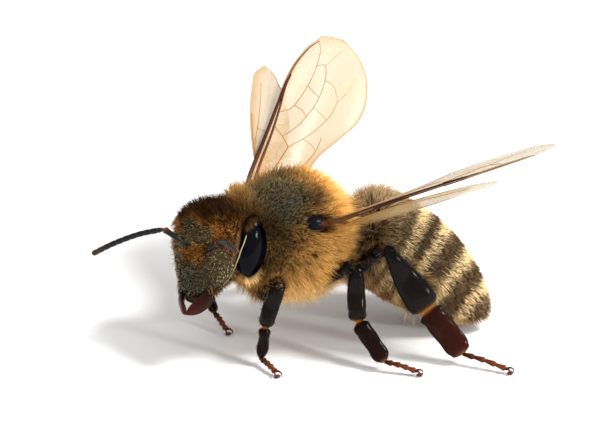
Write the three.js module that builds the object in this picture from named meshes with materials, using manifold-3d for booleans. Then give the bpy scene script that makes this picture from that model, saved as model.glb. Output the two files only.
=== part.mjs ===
// A worker honey bee standing on the floor, life size, in millimetres.
// X runs to the bee's left, -Y is ahead of it, Z is up. Every place below is taken from the point
// of the floor under the middle of the thorax; the whole bee is set over the origin at the end.
import * as THREE from 'three';
import { mergeVertices } from 'three/addons/utils/BufferGeometryUtils.js';
import Module from 'manifold-3d';

const wasm = await Module();
wasm.setup();

// Driving dimensions: the coat of hair counts as part of each solid.
const GAP = 0.06;
const LEAST_LIMB = 0.5;
const THORAX = { centre: [0, 0, 4.22], halfLength: 2.75, yaw: 6 };
const TEGULA = { side: 1.94, back: 0.18, up: 1.12, halfSizes: [0.34, 0.46, 0.3], cant: 40 };
const HEAD = { centre: [0.06, -3.61, 4.19], yaw: 18.4, lean: 21.4, roll: 14.2 };
const EYE = { side: 1.66, back: 1.12, up: 0.3, halfSizes: [0.45, 0.64, 1.2], cant: 7 };
const LABRUM = { ahead: 0.02, up: -1.92, halfSizes: [0.5, 0.27, 0.26] };
const SOCKET = { side: 0.32, ahead: 0.12, up: 0.12 };
const SCAPE_RADIUS = 0.26;
const FLAGELLUM_RADIUS = 0.25;
const WAIST = { from: [-0.15, 1.9, 3.7], to: [-0.05, 3.4, 3.6], radius: 0.5 };
const WING_THICKNESS = 0.5;
const FOREWING_LENGTH = 9.0;
const HINDWING_LENGTH = 6.4;
const TARSUS_RADIUS = 0.26;
const FEMUR_FLATNESS = 0.9;
const ABDOMEN_FLATNESS = 0.9;
const END_SHARE = 0.17;
const END_WIDTH = 0.55;
const WELD = 1e-5;

const COLOUR = {
  face: 0x3a3a30,
  coat: 0xa9792f,
  waist: 0x4b3f28,
  eye: 0x0b0c12,
  shell: 0x14110f,
  mandible: 0x4a1710,
  leg: 0x1a1310,
  foot: 0x6b2e12,
  wing: 0xd9c69a,
  band: 0x7a684a,
};

const UP = new THREE.Vector3(0, 0, 1);
const vector = (place) => new THREE.Vector3(...place);
const radians = THREE.MathUtils.degToRad;

// The value at a fraction `t` of a way, read between stops of [fraction, value].
function between(stops, t) {
  let k = 1;
  while (k < stops.length - 1 && stops[k][0] < t) {
    k += 1;
  }
  const [t0, value0] = stops[k - 1];
  const [t1, value1] = stops[k];
  return THREE.MathUtils.lerp(value0, value1, THREE.MathUtils.clamp((t - t0) / (t1 - t0), 0, 1));
}

// A closed skin over a row of oval rings: ring(t) gives a centre and two half-axes.
function skinOverRings(sides, steps, ring) {
  const skin = new THREE.CylinderGeometry(1, 1, 1, sides, steps);
  skin.deleteAttribute('normal');
  skin.deleteAttribute('uv');
  const places = skin.getAttribute('position');
  const point = new THREE.Vector3();
  for (let i = 0; i < places.count; i += 1) {
    point.fromBufferAttribute(places, i);
    const { centre, across, facing } = ring(point.y + 0.5);
    const spot = centre.clone().addScaledVector(across, point.x).addScaledVector(facing, point.z);
    places.setXYZ(i, spot.x, spot.y, spot.z);
  }
  return mergeVertices(skin, WELD);
}

function ellipsoid(halfSizes, grow, sides, steps) {
  const ball = new THREE.SphereGeometry(1, sides, steps);
  return ball.scale(...halfSizes.map((half) => half + grow));
}

// Solids for cutting and joining.
function toSolid(geometry) {
  const bare = geometry.clone();
  bare.deleteAttribute('normal');
  bare.deleteAttribute('uv');
  const closed = mergeVertices(bare, WELD);
  return new wasm.Manifold(new wasm.Mesh({
    numProp: 3,
    vertProperties: new Float32Array(closed.getAttribute('position').array),
    triVerts: new Uint32Array(closed.index.array),
  }));
}

function fromSolid(solid) {
  const { vertProperties, triVerts } = solid.getMesh();
  const geometry = new THREE.BufferGeometry();
  geometry.setAttribute('position', new THREE.BufferAttribute(vertProperties, 3));
  geometry.setIndex(new THREE.BufferAttribute(triVerts, 1));
  geometry.computeVertexNormals();
  return geometry;
}

// The largest piece left of a solid once the others have been taken from it.
function without(geometry, ...cutters) {
  const cut = cutters.reduce((solid, cutter) => solid.subtract(toSolid(cutter)), toSolid(geometry));
  const pieces = cut.decompose();
  pieces.sort((a, b) => b.volume() - a.volume());
  return fromSolid(pieces[0]);
}

const bee = new THREE.Group();

function addPart(name, geometry, colour, roughness) {
  const material = new THREE.MeshStandardMaterial({ color: colour, roughness, metalness: 0 });
  const part = new THREE.Mesh(geometry, material);
  part.name = name;
  bee.add(part);
}

// --- Thorax: one rounded box of muscle under a deep coat, narrow at the neck, broad at the wings.
const THORAX_RINGS = {
  halfWidth: [
    [0, 0.4], [0.05, 0.8], [0.12, 1.1], [0.22, 1.45], [0.33, 1.9], [0.45, 2.3], [0.58, 2.45], [0.75, 2.35],
    [0.87, 1.85], [0.95, 1.2], [1, 0.6],
  ],
  top: [
    [0, 0.8], [0.04, 1.4], [0.12, 2.0], [0.25, 2.5], [0.4, 2.72], [0.6, 2.72], [0.75, 2.36], [0.87, 1.68],
    [0.95, 1.0], [1, 0.4],
  ],
  bottom: [
    [0, -0.6], [0.06, -1.2], [0.15, -1.7], [0.3, -2.3], [0.5, -2.64], [0.7, -2.55], [0.85, -1.95],
    [0.95, -1.2], [1, -0.7],
  ],
};
const thoraxYaw = radians(THORAX.yaw);

function thoraxCoat(grow) {
  const across = new THREE.Vector3(Math.cos(thoraxYaw), Math.sin(thoraxYaw), 0);
  const backward = new THREE.Vector3(-Math.sin(thoraxYaw), Math.cos(thoraxYaw), 0);
  return skinOverRings(22, 13, (t) => {
    const top = between(THORAX_RINGS.top, t) + grow;
    const bottom = between(THORAX_RINGS.bottom, t) - grow;
    const along = (THORAX.halfLength + grow) * (2 * t - 1);
    const centre = vector(THORAX.centre).addScaledVector(backward, along);
    return {
      centre: centre.addScaledVector(UP, (top + bottom) / 2),
      across: across.clone().multiplyScalar(between(THORAX_RINGS.halfWidth, t) + grow),
      facing: UP.clone().multiplyScalar((top - bottom) / 2),
    };
  });
}

// The tegula is the small domed scale over each forewing's root.
function tegula(side, grow) {
  const place = new THREE.Vector3(side * TEGULA.side, TEGULA.back, TEGULA.up).applyAxisAngle(UP, thoraxYaw);
  return ellipsoid(TEGULA.halfSizes, grow, 12, 8)
    .rotateY(side * radians(TEGULA.cant))
    .translate(...place.add(vector(THORAX.centre)).toArray());
}

// --- Head: rings from the lip up to the crown, turned to the bee's left and leaning chin forward.
const headTurn = new THREE.Matrix4().makeRotationFromEuler(
  new THREE.Euler(-radians(HEAD.lean), -radians(HEAD.roll), radians(HEAD.yaw), 'ZXY'),
).setPosition(...HEAD.centre);
const onHead = (side, ahead, up) => new THREE.Vector3(side, -ahead, up).applyMatrix4(headTurn);

const HEAD_RINGS = {
  height: [[0, -1.72], [0.05, -1.66], [0.5, 0.2], [0.95, 1.86], [1, 1.98]],
  halfWidth: [
    [0, 0.3], [0.05, 0.66], [0.15, 1.0], [0.3, 1.42], [0.5, 1.74], [0.66, 1.77], [0.8, 1.56], [0.9, 1.22],
    [0.95, 0.98], [1, 0.4],
  ],
  front: [
    [0, 0.05], [0.05, 0.16], [0.2, 0.3], [0.4, 0.26], [0.6, 0.2], [0.8, 0.05], [0.95, -0.25], [1, -0.45],
  ],
  back: [
    [0, -0.3], [0.05, -0.5], [0.2, -1.05], [0.4, -1.4], [0.6, -1.55], [0.8, -1.5], [0.95, -1.2], [1, -0.9],
  ],
};

function headShape(grow) {
  return skinOverRings(22, 13, (t) => {
    const up = between(HEAD_RINGS.height, t) + grow * (2 * t - 1);
    const front = between(HEAD_RINGS.front, t) + grow;
    const back = between(HEAD_RINGS.back, t) - grow;
    const middle = (front + back) / 2;
    const centre = onHead(0, middle, up);
    return {
      centre,
      across: onHead(between(HEAD_RINGS.halfWidth, t) + grow, middle, up).sub(centre),
      facing: onHead(0, front, up).sub(centre),
    };
  });
}

function eyeShape(side, grow) {
  return ellipsoid(EYE.halfSizes, grow, 16, 12)
    .rotateY(side * radians(EYE.cant))
    .translate(side * EYE.side, EYE.back, EYE.up)
    .applyMatrix4(headTurn);
}

function labrum(grow) {
  return ellipsoid(LABRUM.halfSizes, grow, 12, 8)
    .translate(0, -LABRUM.ahead, LABRUM.up)
    .applyMatrix4(headTurn);
}

// A straight or bent limb: `facing` is the way its broad face looks, widths are stops along it.
function limb(joints, halfWidths, halfDepths, facing, steps = 5) {
  const path = joints.length > 2 ? new THREE.CatmullRomCurve3(joints) : new THREE.LineCurve3(...joints);
  return skinOverRings(8, steps, (t) => {
    const along = path.getTangent(t);
    const across = along.clone().cross(facing).normalize();
    const outward = across.clone().cross(along).normalize();
    return {
      centre: path.getPoint(t),
      across: across.multiplyScalar(between(halfWidths, t)),
      facing: outward.multiplyScalar(between(halfDepths, t)),
    };
  });
}

const rounded = (radius) => [
  [0, radius * END_WIDTH], [END_SHARE, radius], [1 - END_SHARE, radius], [1, radius * END_WIDTH],
];

function feeler(joints, radius) {
  const steps = joints.length > 2 ? 9 : 5;
  return limb(joints, rounded(radius), rounded(radius), UP, steps);
}

// --- Mandibles: two curved blades that meet at their tips below the lip.
const MANDIBLE_JOINTS = [[0.84, -0.2, -1.42], [0.72, 0.04, -1.9], [0.1, 0.1, -2.36]];
const MANDIBLE_WIDTHS = [[0, 0.25], [0.3, 0.32], [0.75, 0.3], [1, 0.16]];

function mandible(side, grow) {
  const joints = MANDIBLE_JOINTS.map(([out, ahead, up]) => onHead(side * out, ahead, up));
  const widths = MANDIBLE_WIDTHS.map(([t, width]) => [t, width + grow]);
  const facing = onHead(0, 1, 0).sub(onHead(0, 0, 0));
  return limb(joints, widths, widths, facing, 7);
}

// --- Antennae: a stiff scape from the face to the elbow, then the whip of ring joints.
const ANTENNAE = {
  right: {
    socket: onHead(-SOCKET.side, SOCKET.ahead, SOCKET.up),
    elbow: [-1.23, -4.42, 4.78],
    whip: [[-1.95, -5.13, 4.35], [-2.66, -5.85, 3.85], [-3.28, -6.5, 3.33]],
  },
  left: {
    socket: onHead(SOCKET.side, SOCKET.ahead, SOCKET.up),
    elbow: [0.88, -3.17, 4.8],
    whip: [[1.6, -3.35, 5.2], [2.35, -3.42, 5.42], [3.07, -3.38, 5.4]],
  },
};

// --- Abdomen: oval rings along a bent axis, parted into the six plates a worker shows.
const ABDOMEN_AXIS = new THREE.CatmullRomCurve3([
  [-0.1, 2.96, 3.72], [0.2, 3.9, 3.32], [0.95, 5.1, 2.42], [2.1, 6.3, 1.3], [3.05, 7.12, 0.6],
].map(vector));
const ABDOMEN_HALF_WIDTH = [
  [0, 0.9], [0.05, 1.72], [0.12, 2.08], [0.22, 2.17], [0.36, 2.15], [0.52, 2.0], [0.68, 1.68], [0.84, 1.16],
  [0.94, 0.7], [0.985, 0.4], [1, 0.2],
];
const PLATE_EDGES = [0, 0.17, 0.37, 0.55, 0.72, 0.87, 1];

function abdomenRings(from, to, grow, steps) {
  return skinOverRings(20, steps, (t) => {
    const at = THREE.MathUtils.lerp(from, to, t);
    const along = ABDOMEN_AXIS.getTangent(at);
    const across = along.clone().cross(UP).normalize();
    const outward = across.clone().cross(along).normalize();
    const half = between(ABDOMEN_HALF_WIDTH, at) + grow;
    return {
      centre: ABDOMEN_AXIS.getPoint(at),
      across: across.multiplyScalar(half),
      facing: outward.multiplyScalar(half * ABDOMEN_FLATNESS),
    };
  });
}

// --- Wings: membranes, given as plates of an even thickness with their veins left flat.
// Outlines run out along the leading edge and back along the trailing one, in parts of the length.
const FOREWING_OUTLINE = {
  leading: [[0, 0], [0.1, 0.018], [0.3, 0.02], [0.5, 0.024], [0.62, 0.03], [0.8, 0.012], [0.92, -0.03]],
  tip: [[0.99, -0.09], [1, -0.14], [0.985, -0.2], [0.93, -0.27]],
  trailing: [
    [0.8, -0.335], [0.66, -0.345], [0.5, -0.29], [0.36, -0.235], [0.27, -0.215], [0.16, -0.16],
    [0.05, -0.075], [0, -0.05],
  ],
};
const HINDWING_OUTLINE = {
  leading: [[0, 0], [0.15, 0.02], [0.35, 0.03], [0.6, 0.015], [0.8, -0.02], [0.93, -0.06]],
  tip: [[1, -0.13], [0.98, -0.19], [0.9, -0.245]],
  trailing: [
    [0.75, -0.28], [0.58, -0.285], [0.46, -0.25], [0.34, -0.29], [0.2, -0.25], [0.08, -0.12], [0, -0.05],
  ],
};
const WINGS = {
  forewing_left: { root: [1.85, 0.8, 5.2], reach: [5.02, 6.51, 3.6], trail: [-0.73, 0.66, -0.19] },
  forewing_right: { root: [-2.03, -0.7, 5.18], reach: [-5.69, 5.75, 3.95], trail: [0.41, 0.76, -0.51] },
  hindwing_left: { root: [1.76, 1.2, 4.93], reach: [3.9, 4.31, 2.67], trail: [-0.53, 0.74, -0.42] },
  hindwing_right: { root: [-1.98, 0, 5.05], reach: [-5.13, 1.79, 3.38], trail: [-0.01, 0.88, -0.48] },
};

function wingPlate(name, thickness) {
  const isFore = name.startsWith('forewing');
  const outline = isFore ? FOREWING_OUTLINE : HINDWING_OUTLINE;
  const length = isFore ? FOREWING_LENGTH : HINDWING_LENGTH;
  const shape = new THREE.Shape();
  const points = [...outline.leading, ...outline.tip, ...outline.trailing];
  shape.setFromPoints(points.map(([along, ahead]) => new THREE.Vector2(along * length, -ahead * length)));
  const plate = new THREE.ExtrudeGeometry(shape, { depth: thickness, bevelEnabled: false });
  plate.translate(0, 0, -thickness / 2);
  const { root, reach, trail } = WINGS[name];
  const span = vector(reach).normalize();
  const normal = span.clone().cross(vector(trail)).normalize();
  const chord = normal.clone().cross(span);
  return plate.applyMatrix4(new THREE.Matrix4().makeBasis(span, chord, normal).setPosition(...root));
}

// --- Legs: hip end, knee, shin end, heel end and toe, each pair with its own half-widths.
const LEG_WIDTHS = {
  front: { femur: 0.32, shin: [0.3, 0.38], heel: [0.28, 0.27] },
  middle: { femur: 0.32, shin: [0.3, 0.38], heel: [0.41, 0.36] },
  hind: { femur: 0.33, shin: [0.32, 0.64], heel: [0.6, 0.53] },
};
const LEGS = {
  front_left: [
    [0.6, -1.3, 2.15], [2.03, -1.15, 3.26], [1.83, -1.72, 1.47], [2.0, -1.95, 0.42], [3.02, -1.87, 0.2],
  ],
  middle_left: [
    [1.2, 0.6, 2.45], [2.75, 1.65, 3.73], [3.25, 1.45, 1.64], [4.49, 1.96, 0.42], [5.28, 2.84, 0.2],
  ],
  hind_left: [
    [1.3, 2.0, 2.5], [3.08, 2.69, 4.43], [4.05, 3.97, 1.95], [5.26, 4.85, 0.46], [6.6, 5.96, 0.2],
  ],
  front_right: [
    [-0.6, -1.3, 2.15], [-2.15, -1.6, 3.1], [-2.3, -2.2, 1.5], [-1.75, -2.15, 0.62], [-1.05, -2.0, 0.2],
  ],
  middle_right: [
    [-1.2, 0.5, 2.45], [-2.95, 1.2, 3.7], [-3.6, 0.9, 1.65], [-4.75, 1.35, 0.42], [-5.5, 2.2, 0.2],
  ],
  hind_right: [
    [-1.3, 1.9, 2.5], [-2.9, 2.9, 4.3], [-4.0, 4.1, 1.9], [-5.0, 5.2, 0.46], [-5.9, 6.5, 0.2],
  ],
};
const LEG_FACE = [0.86, -0.35, 0.36];

// The toes lie on the floor: whatever would pass below it is laid flat at floor level.
function laidOnFloor(geometry) {
  const places = geometry.getAttribute('position');
  for (let i = 0; i < places.count; i += 1) {
    places.setZ(i, Math.max(0, places.getZ(i)));
  }
  return geometry;
}

function legParts(joints, widths, outward, grow) {
  const [hip, knee, shinEnd, heelEnd, toe] = joints.map(vector);
  const thigh = widths.femur + grow;
  const depth = rounded(LEAST_LIMB / 2 + grow);
  const sole = rounded(TARSUS_RADIUS + grow);
  const widening = ([near, far]) => [
    [0, near * 0.6 + grow], [0.15, near + grow], [0.8, far + grow], [1, far * 0.7 + grow],
  ];
  return {
    femur: limb([hip, knee], rounded(thigh), rounded(thigh * FEMUR_FLATNESS), outward),
    tibia: limb([knee, shinEnd], widening(widths.shin), depth, outward),
    basitarsus: limb([shinEnd, heelEnd], widening(widths.heel), depth, outward),
    tarsus: laidOnFloor(limb([heelEnd, toe], sole, sole, UP)),
  };
}

// ---- Putting the bee together: what is cut last gives way to what stands before it.
const SIDES = { left: 1, right: -1 };
const thoraxCutter = thoraxCoat(GAP);
const headCutter = headShape(GAP);
const labrumCutter = labrum(GAP);
const abdomenCutter = abdomenRings(0, 1, GAP, 18);
const eyeCutters = [eyeShape(1, GAP), eyeShape(-1, GAP)];
const tegulaCutters = [tegula(1, GAP), tegula(-1, GAP)];

addPart('thorax', without(thoraxCoat(0), ...tegulaCutters, headCutter, ...eyeCutters), COLOUR.coat, 0.9);
addPart('head', without(headShape(0), ...eyeCutters), COLOUR.face, 0.8);
addPart('labrum', without(labrum(0), headCutter), COLOUR.shell, 0.5);

Object.entries(SIDES).forEach(([name, side]) => {
  addPart(`tegula_${name}`, tegula(side, 0), COLOUR.shell, 0.3);
  addPart(`eye_${name}`, eyeShape(side, 0), COLOUR.eye, 0.15);

  const jawCutters = [headCutter, labrumCutter];
  if (name === 'right') {
    jawCutters.push(mandible(SIDES.left, GAP));
  }
  addPart(`mandible_${name}`, without(mandible(side, 0), ...jawCutters), COLOUR.mandible, 0.25);

  const socket = ANTENNAE[name].socket;
  const elbow = vector(ANTENNAE[name].elbow);
  const whip = ANTENNAE[name].whip.map(vector);
  const faceCutters = [headCutter, ...eyeCutters];
  const scapeCutter = feeler([socket, elbow], SCAPE_RADIUS + GAP);
  const scape = feeler([socket, elbow], SCAPE_RADIUS);
  const flagellum = feeler([elbow, ...whip], FLAGELLUM_RADIUS);
  addPart(`scape_${name}`, without(scape, ...faceCutters), COLOUR.shell, 0.25);
  addPart(`flagellum_${name}`, without(flagellum, scapeCutter, ...faceCutters), COLOUR.shell, 0.4);
});

const plateCount = PLATE_EDGES.length - 1;
const slack = GAP / 2 / ABDOMEN_AXIS.getLength();
for (let k = 0; k < plateCount; k += 1) {
  const from = PLATE_EDGES[k] + (k > 0 ? slack : 0);
  const to = PLATE_EDGES[k + 1] - (k < plateCount - 1 ? slack : 0);
  addPart(`abdomen_${k + 1}`, without(abdomenRings(from, to, 0, 3), thoraxCutter), COLOUR.band, 0.8);
}

const waistWidths = rounded(WAIST.radius);
const waist = limb([vector(WAIST.from), vector(WAIST.to)], waistWidths, waistWidths, UP);
addPart('waist', without(waist, thoraxCutter, abdomenCutter), COLOUR.waist, 0.8);

Object.keys(WINGS).forEach((name) => {
  const cutters = [thoraxCutter, abdomenCutter, ...tegulaCutters];
  if (name.startsWith('hindwing')) {
    cutters.push(wingPlate(name.replace('hind', 'fore'), WING_THICKNESS + 2 * GAP));
  }
  addPart(name, without(wingPlate(name, WING_THICKNESS), ...cutters), COLOUR.wing, 0.3);
});

Object.entries(LEGS).forEach(([name, joints]) => {
  const [pair, sideName] = name.split('_');
  const widths = LEG_WIDTHS[pair];
  const outward = vector(LEG_FACE).multiply(new THREE.Vector3(SIDES[sideName], 1, 1));
  const parts = legParts(joints, widths, outward, 0);
  const cutters = legParts(joints, widths, outward, GAP);
  const body = [thoraxCutter, abdomenCutter];
  addPart(`femur_${name}`, without(parts.femur, ...body), COLOUR.leg, 0.3);
  addPart(`tibia_${name}`, without(parts.tibia, cutters.femur, ...body), COLOUR.leg, 0.3);
  addPart(`basitarsus_${name}`, without(parts.basitarsus, cutters.tibia), COLOUR.foot, 0.4);
  addPart(`tarsus_${name}`, without(parts.tarsus, cutters.basitarsus), COLOUR.foot, 0.5);
});

// The origin is the middle of the bee's footprint box, at floor level.
const reach = new THREE.Box3().setFromObject(bee, true);
const middle = reach.getCenter(new THREE.Vector3());
bee.position.set(-middle.x, -middle.y, -reach.min.z);

export default bee;
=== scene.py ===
import math

import bpy
import numpy as np
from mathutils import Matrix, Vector, kdtree


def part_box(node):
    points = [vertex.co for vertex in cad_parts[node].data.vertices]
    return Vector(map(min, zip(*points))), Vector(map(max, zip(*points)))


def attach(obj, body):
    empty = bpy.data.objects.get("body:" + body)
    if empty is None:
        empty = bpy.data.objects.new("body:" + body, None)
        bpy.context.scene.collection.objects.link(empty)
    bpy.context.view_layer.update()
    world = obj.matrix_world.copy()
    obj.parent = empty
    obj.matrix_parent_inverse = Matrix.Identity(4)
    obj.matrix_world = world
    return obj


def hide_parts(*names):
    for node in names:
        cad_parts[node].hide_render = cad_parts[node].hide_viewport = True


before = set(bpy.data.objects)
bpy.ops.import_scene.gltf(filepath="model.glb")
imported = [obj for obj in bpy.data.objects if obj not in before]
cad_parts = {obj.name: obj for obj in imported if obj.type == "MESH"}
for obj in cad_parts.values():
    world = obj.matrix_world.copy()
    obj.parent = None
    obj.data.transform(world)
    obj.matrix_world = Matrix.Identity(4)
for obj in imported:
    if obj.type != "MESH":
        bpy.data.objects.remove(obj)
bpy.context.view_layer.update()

# === Thorax shell ===================================================================================
# The middle part of the body is one hard rounded box that holds the flight muscle. Its back is a low
# dome, nearly bald, with a raised shield behind it; narrow in front at the neck, broad at the wings.
# Places are in millimetres from the floor under its middle: X to the bee's left, -Y ahead, Z up.
MM = 0.001
THORAX_MIDDLE = np.array([0.0, 0.0, 4.22])
THORAX_YAW = math.radians(6)
SCALE_PLACE = np.array([1.94, 0.18, 1.12])
THORAX_HALF_LENGTH = 2.12
THORAX_RINGS, THORAX_SIDES, THORAX_SQUARENESS = 90, 96, 0.92
THORAX_HALF_WIDTH = [
    (0, 0.05), (0.03, 0.55), (0.1, 0.95), (0.22, 1.35), (0.36, 1.68), (0.5, 1.83), (0.65, 1.78),
    (0.8, 1.42), (0.9, 1.0), (0.97, 0.5), (1, 0.05),
]
THORAX_TOP = [
    (0, 0.5), (0.03, 0.95), (0.1, 1.35), (0.22, 1.76), (0.38, 2.02), (0.55, 2.02), (0.68, 1.78),
    (0.75, 1.72), (0.82, 1.45), (0.9, 1.05), (0.97, 0.6), (1, 0.3),
]
THORAX_BOTTOM = [
    (0, 0.3), (0.03, -0.35), (0.1, -0.85), (0.25, -1.4), (0.45, -1.8), (0.65, -1.8), (0.82, -1.4),
    (0.93, -0.85), (1, 0.1),
]
UP = np.array([0.0, 0.0, 1.0])
SIDES = ((1, "left"), (-1, "right"))
BARE_MIDDLE = (0.22, -0.48)
BARE_HALF_SIZES = (1.52, 1.1)
GOLD = np.array([0.70, 0.39, 0.11])
ORANGE = np.array([0.42, 0.16, 0.028])
UMBER = np.array([0.035, 0.014, 0.005])
TAN = np.array([0.86, 0.65, 0.35])
GREY = np.array([0.15, 0.125, 0.065])


def turned(points, angle):
    """The points turned about the upright axis, anticlockwise from above."""
    x, y, z = parts(np.asarray(points, float))
    c, s = math.cos(angle), math.sin(angle)
    return np.stack([x * c - y * s, x * s + y * c, z + 0 * x], -1)


def unit(vectors):
    """Directions of length 1."""
    return vectors / np.maximum(np.linalg.norm(vectors, axis=-1, keepdims=True), 1e-9)


def parts(points):
    """The three numbers of places, each as an array of its own."""
    return np.moveaxis(points, -1, 0)


def capped(value):
    """Held between 0 and 1."""
    return np.clip(value, 0, 1)


def through(stops):
    """A smooth reading between stops of (fraction, value); a value is a number or a place."""
    at = np.array([stop[0] for stop in stops], float)
    value = np.array([stop[1] for stop in stops], float)
    slope = np.gradient(value, at, axis=0)

    def read(t):
        t = np.clip(np.asarray(t, float), at[0], at[-1])
        k = np.clip(np.searchsorted(at, t, side="right") - 1, 0, len(at) - 2)
        span = at[k + 1] - at[k]
        s = (t - at[k]) / span
        if value.ndim > 1:
            s, span = s[..., None], span[..., None]
        near, far = value[k], value[k + 1]
        return (
            near * (2 * s**3 - 3 * s**2 + 1) + slope[k] * span * (s**3 - 2 * s**2 + s)
            + far * (3 * s**2 - 2 * s**3) + slope[k + 1] * span * (s**3 - s**2)
        )

    return read


def rings(centre, across, facing, sides, squareness=1.0):
    """Places over a row of ovals, one row of places for each; squareness under 1 fills the corners."""
    turn = np.arange(sides) / sides * 2 * math.pi
    c = np.sign(np.cos(turn)) * np.abs(np.cos(turn)) ** squareness
    s = np.sign(np.sin(turn)) * np.abs(np.sin(turn)) ** squareness
    return centre[:, None] + across[:, None] * c[:, None] + facing[:, None] * s[:, None]


def eased(steps):
    """Fractions of a length that lie closer together towards both ends."""
    return (1 - np.cos(np.linspace(0, math.pi, steps + 1))) / 2


def mixture(first, second, share):
    """Colours part way between two, one for each share."""
    share = capped(share)[..., None]
    return np.asarray(first) * (1 - share) + np.asarray(second) * share


def off_oval(x, y, half_x, half_y):
    """0 at an oval's middle and 1 at its rim, rising with the square of the distance."""
    return (x / half_x) ** 2 + (y / half_y) ** 2


def swell(x, y, half_x, half_y):
    """1 where both are nought, falling off smoothly over the half sizes."""
    return np.exp(-off_oval(x, y, half_x, half_y))


def thorax_places(points):
    """Places from the middle of the thorax, along its own length."""
    return turned(points - THORAX_MIDDLE, -THORAX_YAW)


def bare_back(points):
    """1 in the middle of the thin-haired shield of the back, 0 in the coat round it."""
    side, back, up = parts(thorax_places(points))
    reach = off_oval(side - BARE_MIDDLE[0], back - BARE_MIDDLE[1], *BARE_HALF_SIZES)
    return capped((1.25 - reach) * 1.3) * capped(up * 2.5 - 1.8)


def mottle(points, scale):
    """Soft blotches from 0 to 1 over places, a few to each unit of scale."""
    x, y, z = parts(points * scale)
    waves = np.sin(x * 2.1 + 1.3 * np.sin(y * 1.7)) + np.sin(y * 2.6 + 1.1 * np.sin(z * 2.3))
    return capped((waves + np.sin(z * 1.9 + x * 1.4)) / 4 + 0.45)


def thorax_coat_colour(points):
    """Gold on the flanks, browner above and in front, dark red-brown by the wings, grey on the shield;
    the rear of the top is its own gold brightened by a painted glow of the lamp behind it.
    """
    side, back, up = parts(thorax_places(points))
    colour = mixture(mixture(ORANGE, GOLD, 0.6), GOLD, capped(1.0 - 0.6 * up))
    colour = mixture(colour, TAN, np.clip(-up * 0.6 - 0.45, 0, 0.7))
    by_wings = swell(np.abs(side) - 1.0, back - 0.35, 0.45, 0.55)
    border = by_wings + 0.9 * swell(side - 0.3, back + 1.45, 1.0, 0.4)
    colour = mixture(colour, UMBER, 0.7 * border * capped(up))
    colour = mixture(colour, UMBER, 0.9 * swell(back + 0.8, up - 0.5, 0.95, 0.95) * mottle(points, 2.2))
    colour = mixture(colour, UMBER, 0.3 * mottle(points + 3, 3.1) * capped(up + 1))
    # painted glow: the rear top is a lighter gold, its own colour plus the backlight through the hair
    painted_backlight_glow = capped((back - 0.7) / 0.6) * capped(up)
    colour = mixture(colour, GOLD * 1.3, 0.85 * painted_backlight_glow)
    return mixture(colour, GREY * 0.8, 0.85 * bare_back(points))


scale_boxes = [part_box(f"tegula_{name}") for _, name in SIDES]
scales_middle = np.mean([np.add(*box) / 2 for box in scale_boxes], axis=0) / MM
foot = scales_middle - THORAX_MIDDLE - turned(SCALE_PLACE * [0, 1, 1], THORAX_YAW)

t = eased(THORAX_RINGS)
top, bottom = through(THORAX_TOP)(t), through(THORAX_BOTTOM)(t)
thorax_grid = THORAX_MIDDLE + turned(
    rings(
        np.stack([0 * t, THORAX_HALF_LENGTH * (2 * t - 1), (top + bottom) / 2], -1),
        np.stack([through(THORAX_HALF_WIDTH)(t), 0 * t, 0 * t], -1),
        np.stack([0 * t, 0 * t, (top - bottom) / 2], -1),
        THORAX_SIDES, THORAX_SQUARENESS,
    ),
    THORAX_YAW,
)

# === Head shell =====================================================================================
# A flattened capsule, broad above and narrow at the lip, hung by a thin neck. Its face carries the
# raised shield over the lip, the two feeler sockets and a shallow furrow up to the crown.
HEAD_MIDDLE = np.array([0.06, -3.61, 4.19])
HEAD_YAW, HEAD_LEAN, HEAD_ROLL = (math.radians(angle) for angle in (18.4, 21.4, 14.2))
HEAD_HEIGHT = (-1.62, 1.84)
HEAD_RINGS, HEAD_SIDES, HEAD_SQUARENESS = 110, 120, 0.9
HEAD_HALF_WIDTH = [
    (0, 0.08), (0.03, 0.52), (0.1, 0.84), (0.25, 1.2), (0.45, 1.5), (0.62, 1.6), (0.78, 1.46),
    (0.9, 1.08), (0.97, 0.6), (1, 0.08),
]
HEAD_FRONT = [
    (0, -0.02), (0.03, 0.1), (0.15, 0.2), (0.35, 0.2), (0.55, 0.12), (0.75, -0.02), (0.9, -0.3), (1, -0.7),
]
HEAD_BACK = [
    (0, -0.25), (0.05, -0.5), (0.2, -0.95), (0.4, -1.28), (0.6, -1.42), (0.8, -1.35), (0.93, -1.1),
    (1, -0.75),
]
SHIELD_FELT = np.array([0.15, 0.15, 0.11])
FACE_RELIEF = [
    # (side, up, half width, half height, rise)
    (0.0, -1.0, 0.62, 0.6, 0.15),
    (0.0, -0.18, 0.26, 0.3, 0.07),
    (0.52, 0.72, 0.36, 0.55, 0.08),
    (0.3, 0.1, 0.17, 0.17, -0.13),
    (0.0, 0.9, 0.09, 0.6, -0.06),
    (0.78, -0.85, 0.13, 0.6, -0.05),
]


def head_matrix():
    """Columns are the head's own side, back and up directions: roll, then lean, then yaw."""
    cr, sr = math.cos(HEAD_ROLL), math.sin(HEAD_ROLL)
    cl, sl = math.cos(HEAD_LEAN), math.sin(HEAD_LEAN)
    roll = np.array([[cr, 0, -sr], [0, 1, 0], [sr, 0, cr]])
    lean = np.array([[1, 0, 0], [0, cl, sl], [0, -sl, cl]])
    return turned((lean @ roll).T, HEAD_YAW).T


HEAD_TURN = head_matrix()


def on_head(places):
    """Places of the bee, from what they are on the head: (side, ahead, up) from its middle."""
    return HEAD_MIDDLE + (np.asarray(places, float) * [1, -1, 1]) @ HEAD_TURN.T


def head_way(side, ahead, up):
    """A direction given from the head's own side."""
    return on_head([side, ahead, up]) - HEAD_MIDDLE


def in_head(points):
    """Places as (side, ahead, up) from the middle of the head."""
    return ((points - HEAD_MIDDLE) @ HEAD_TURN) * [1, -1, 1]


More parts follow.
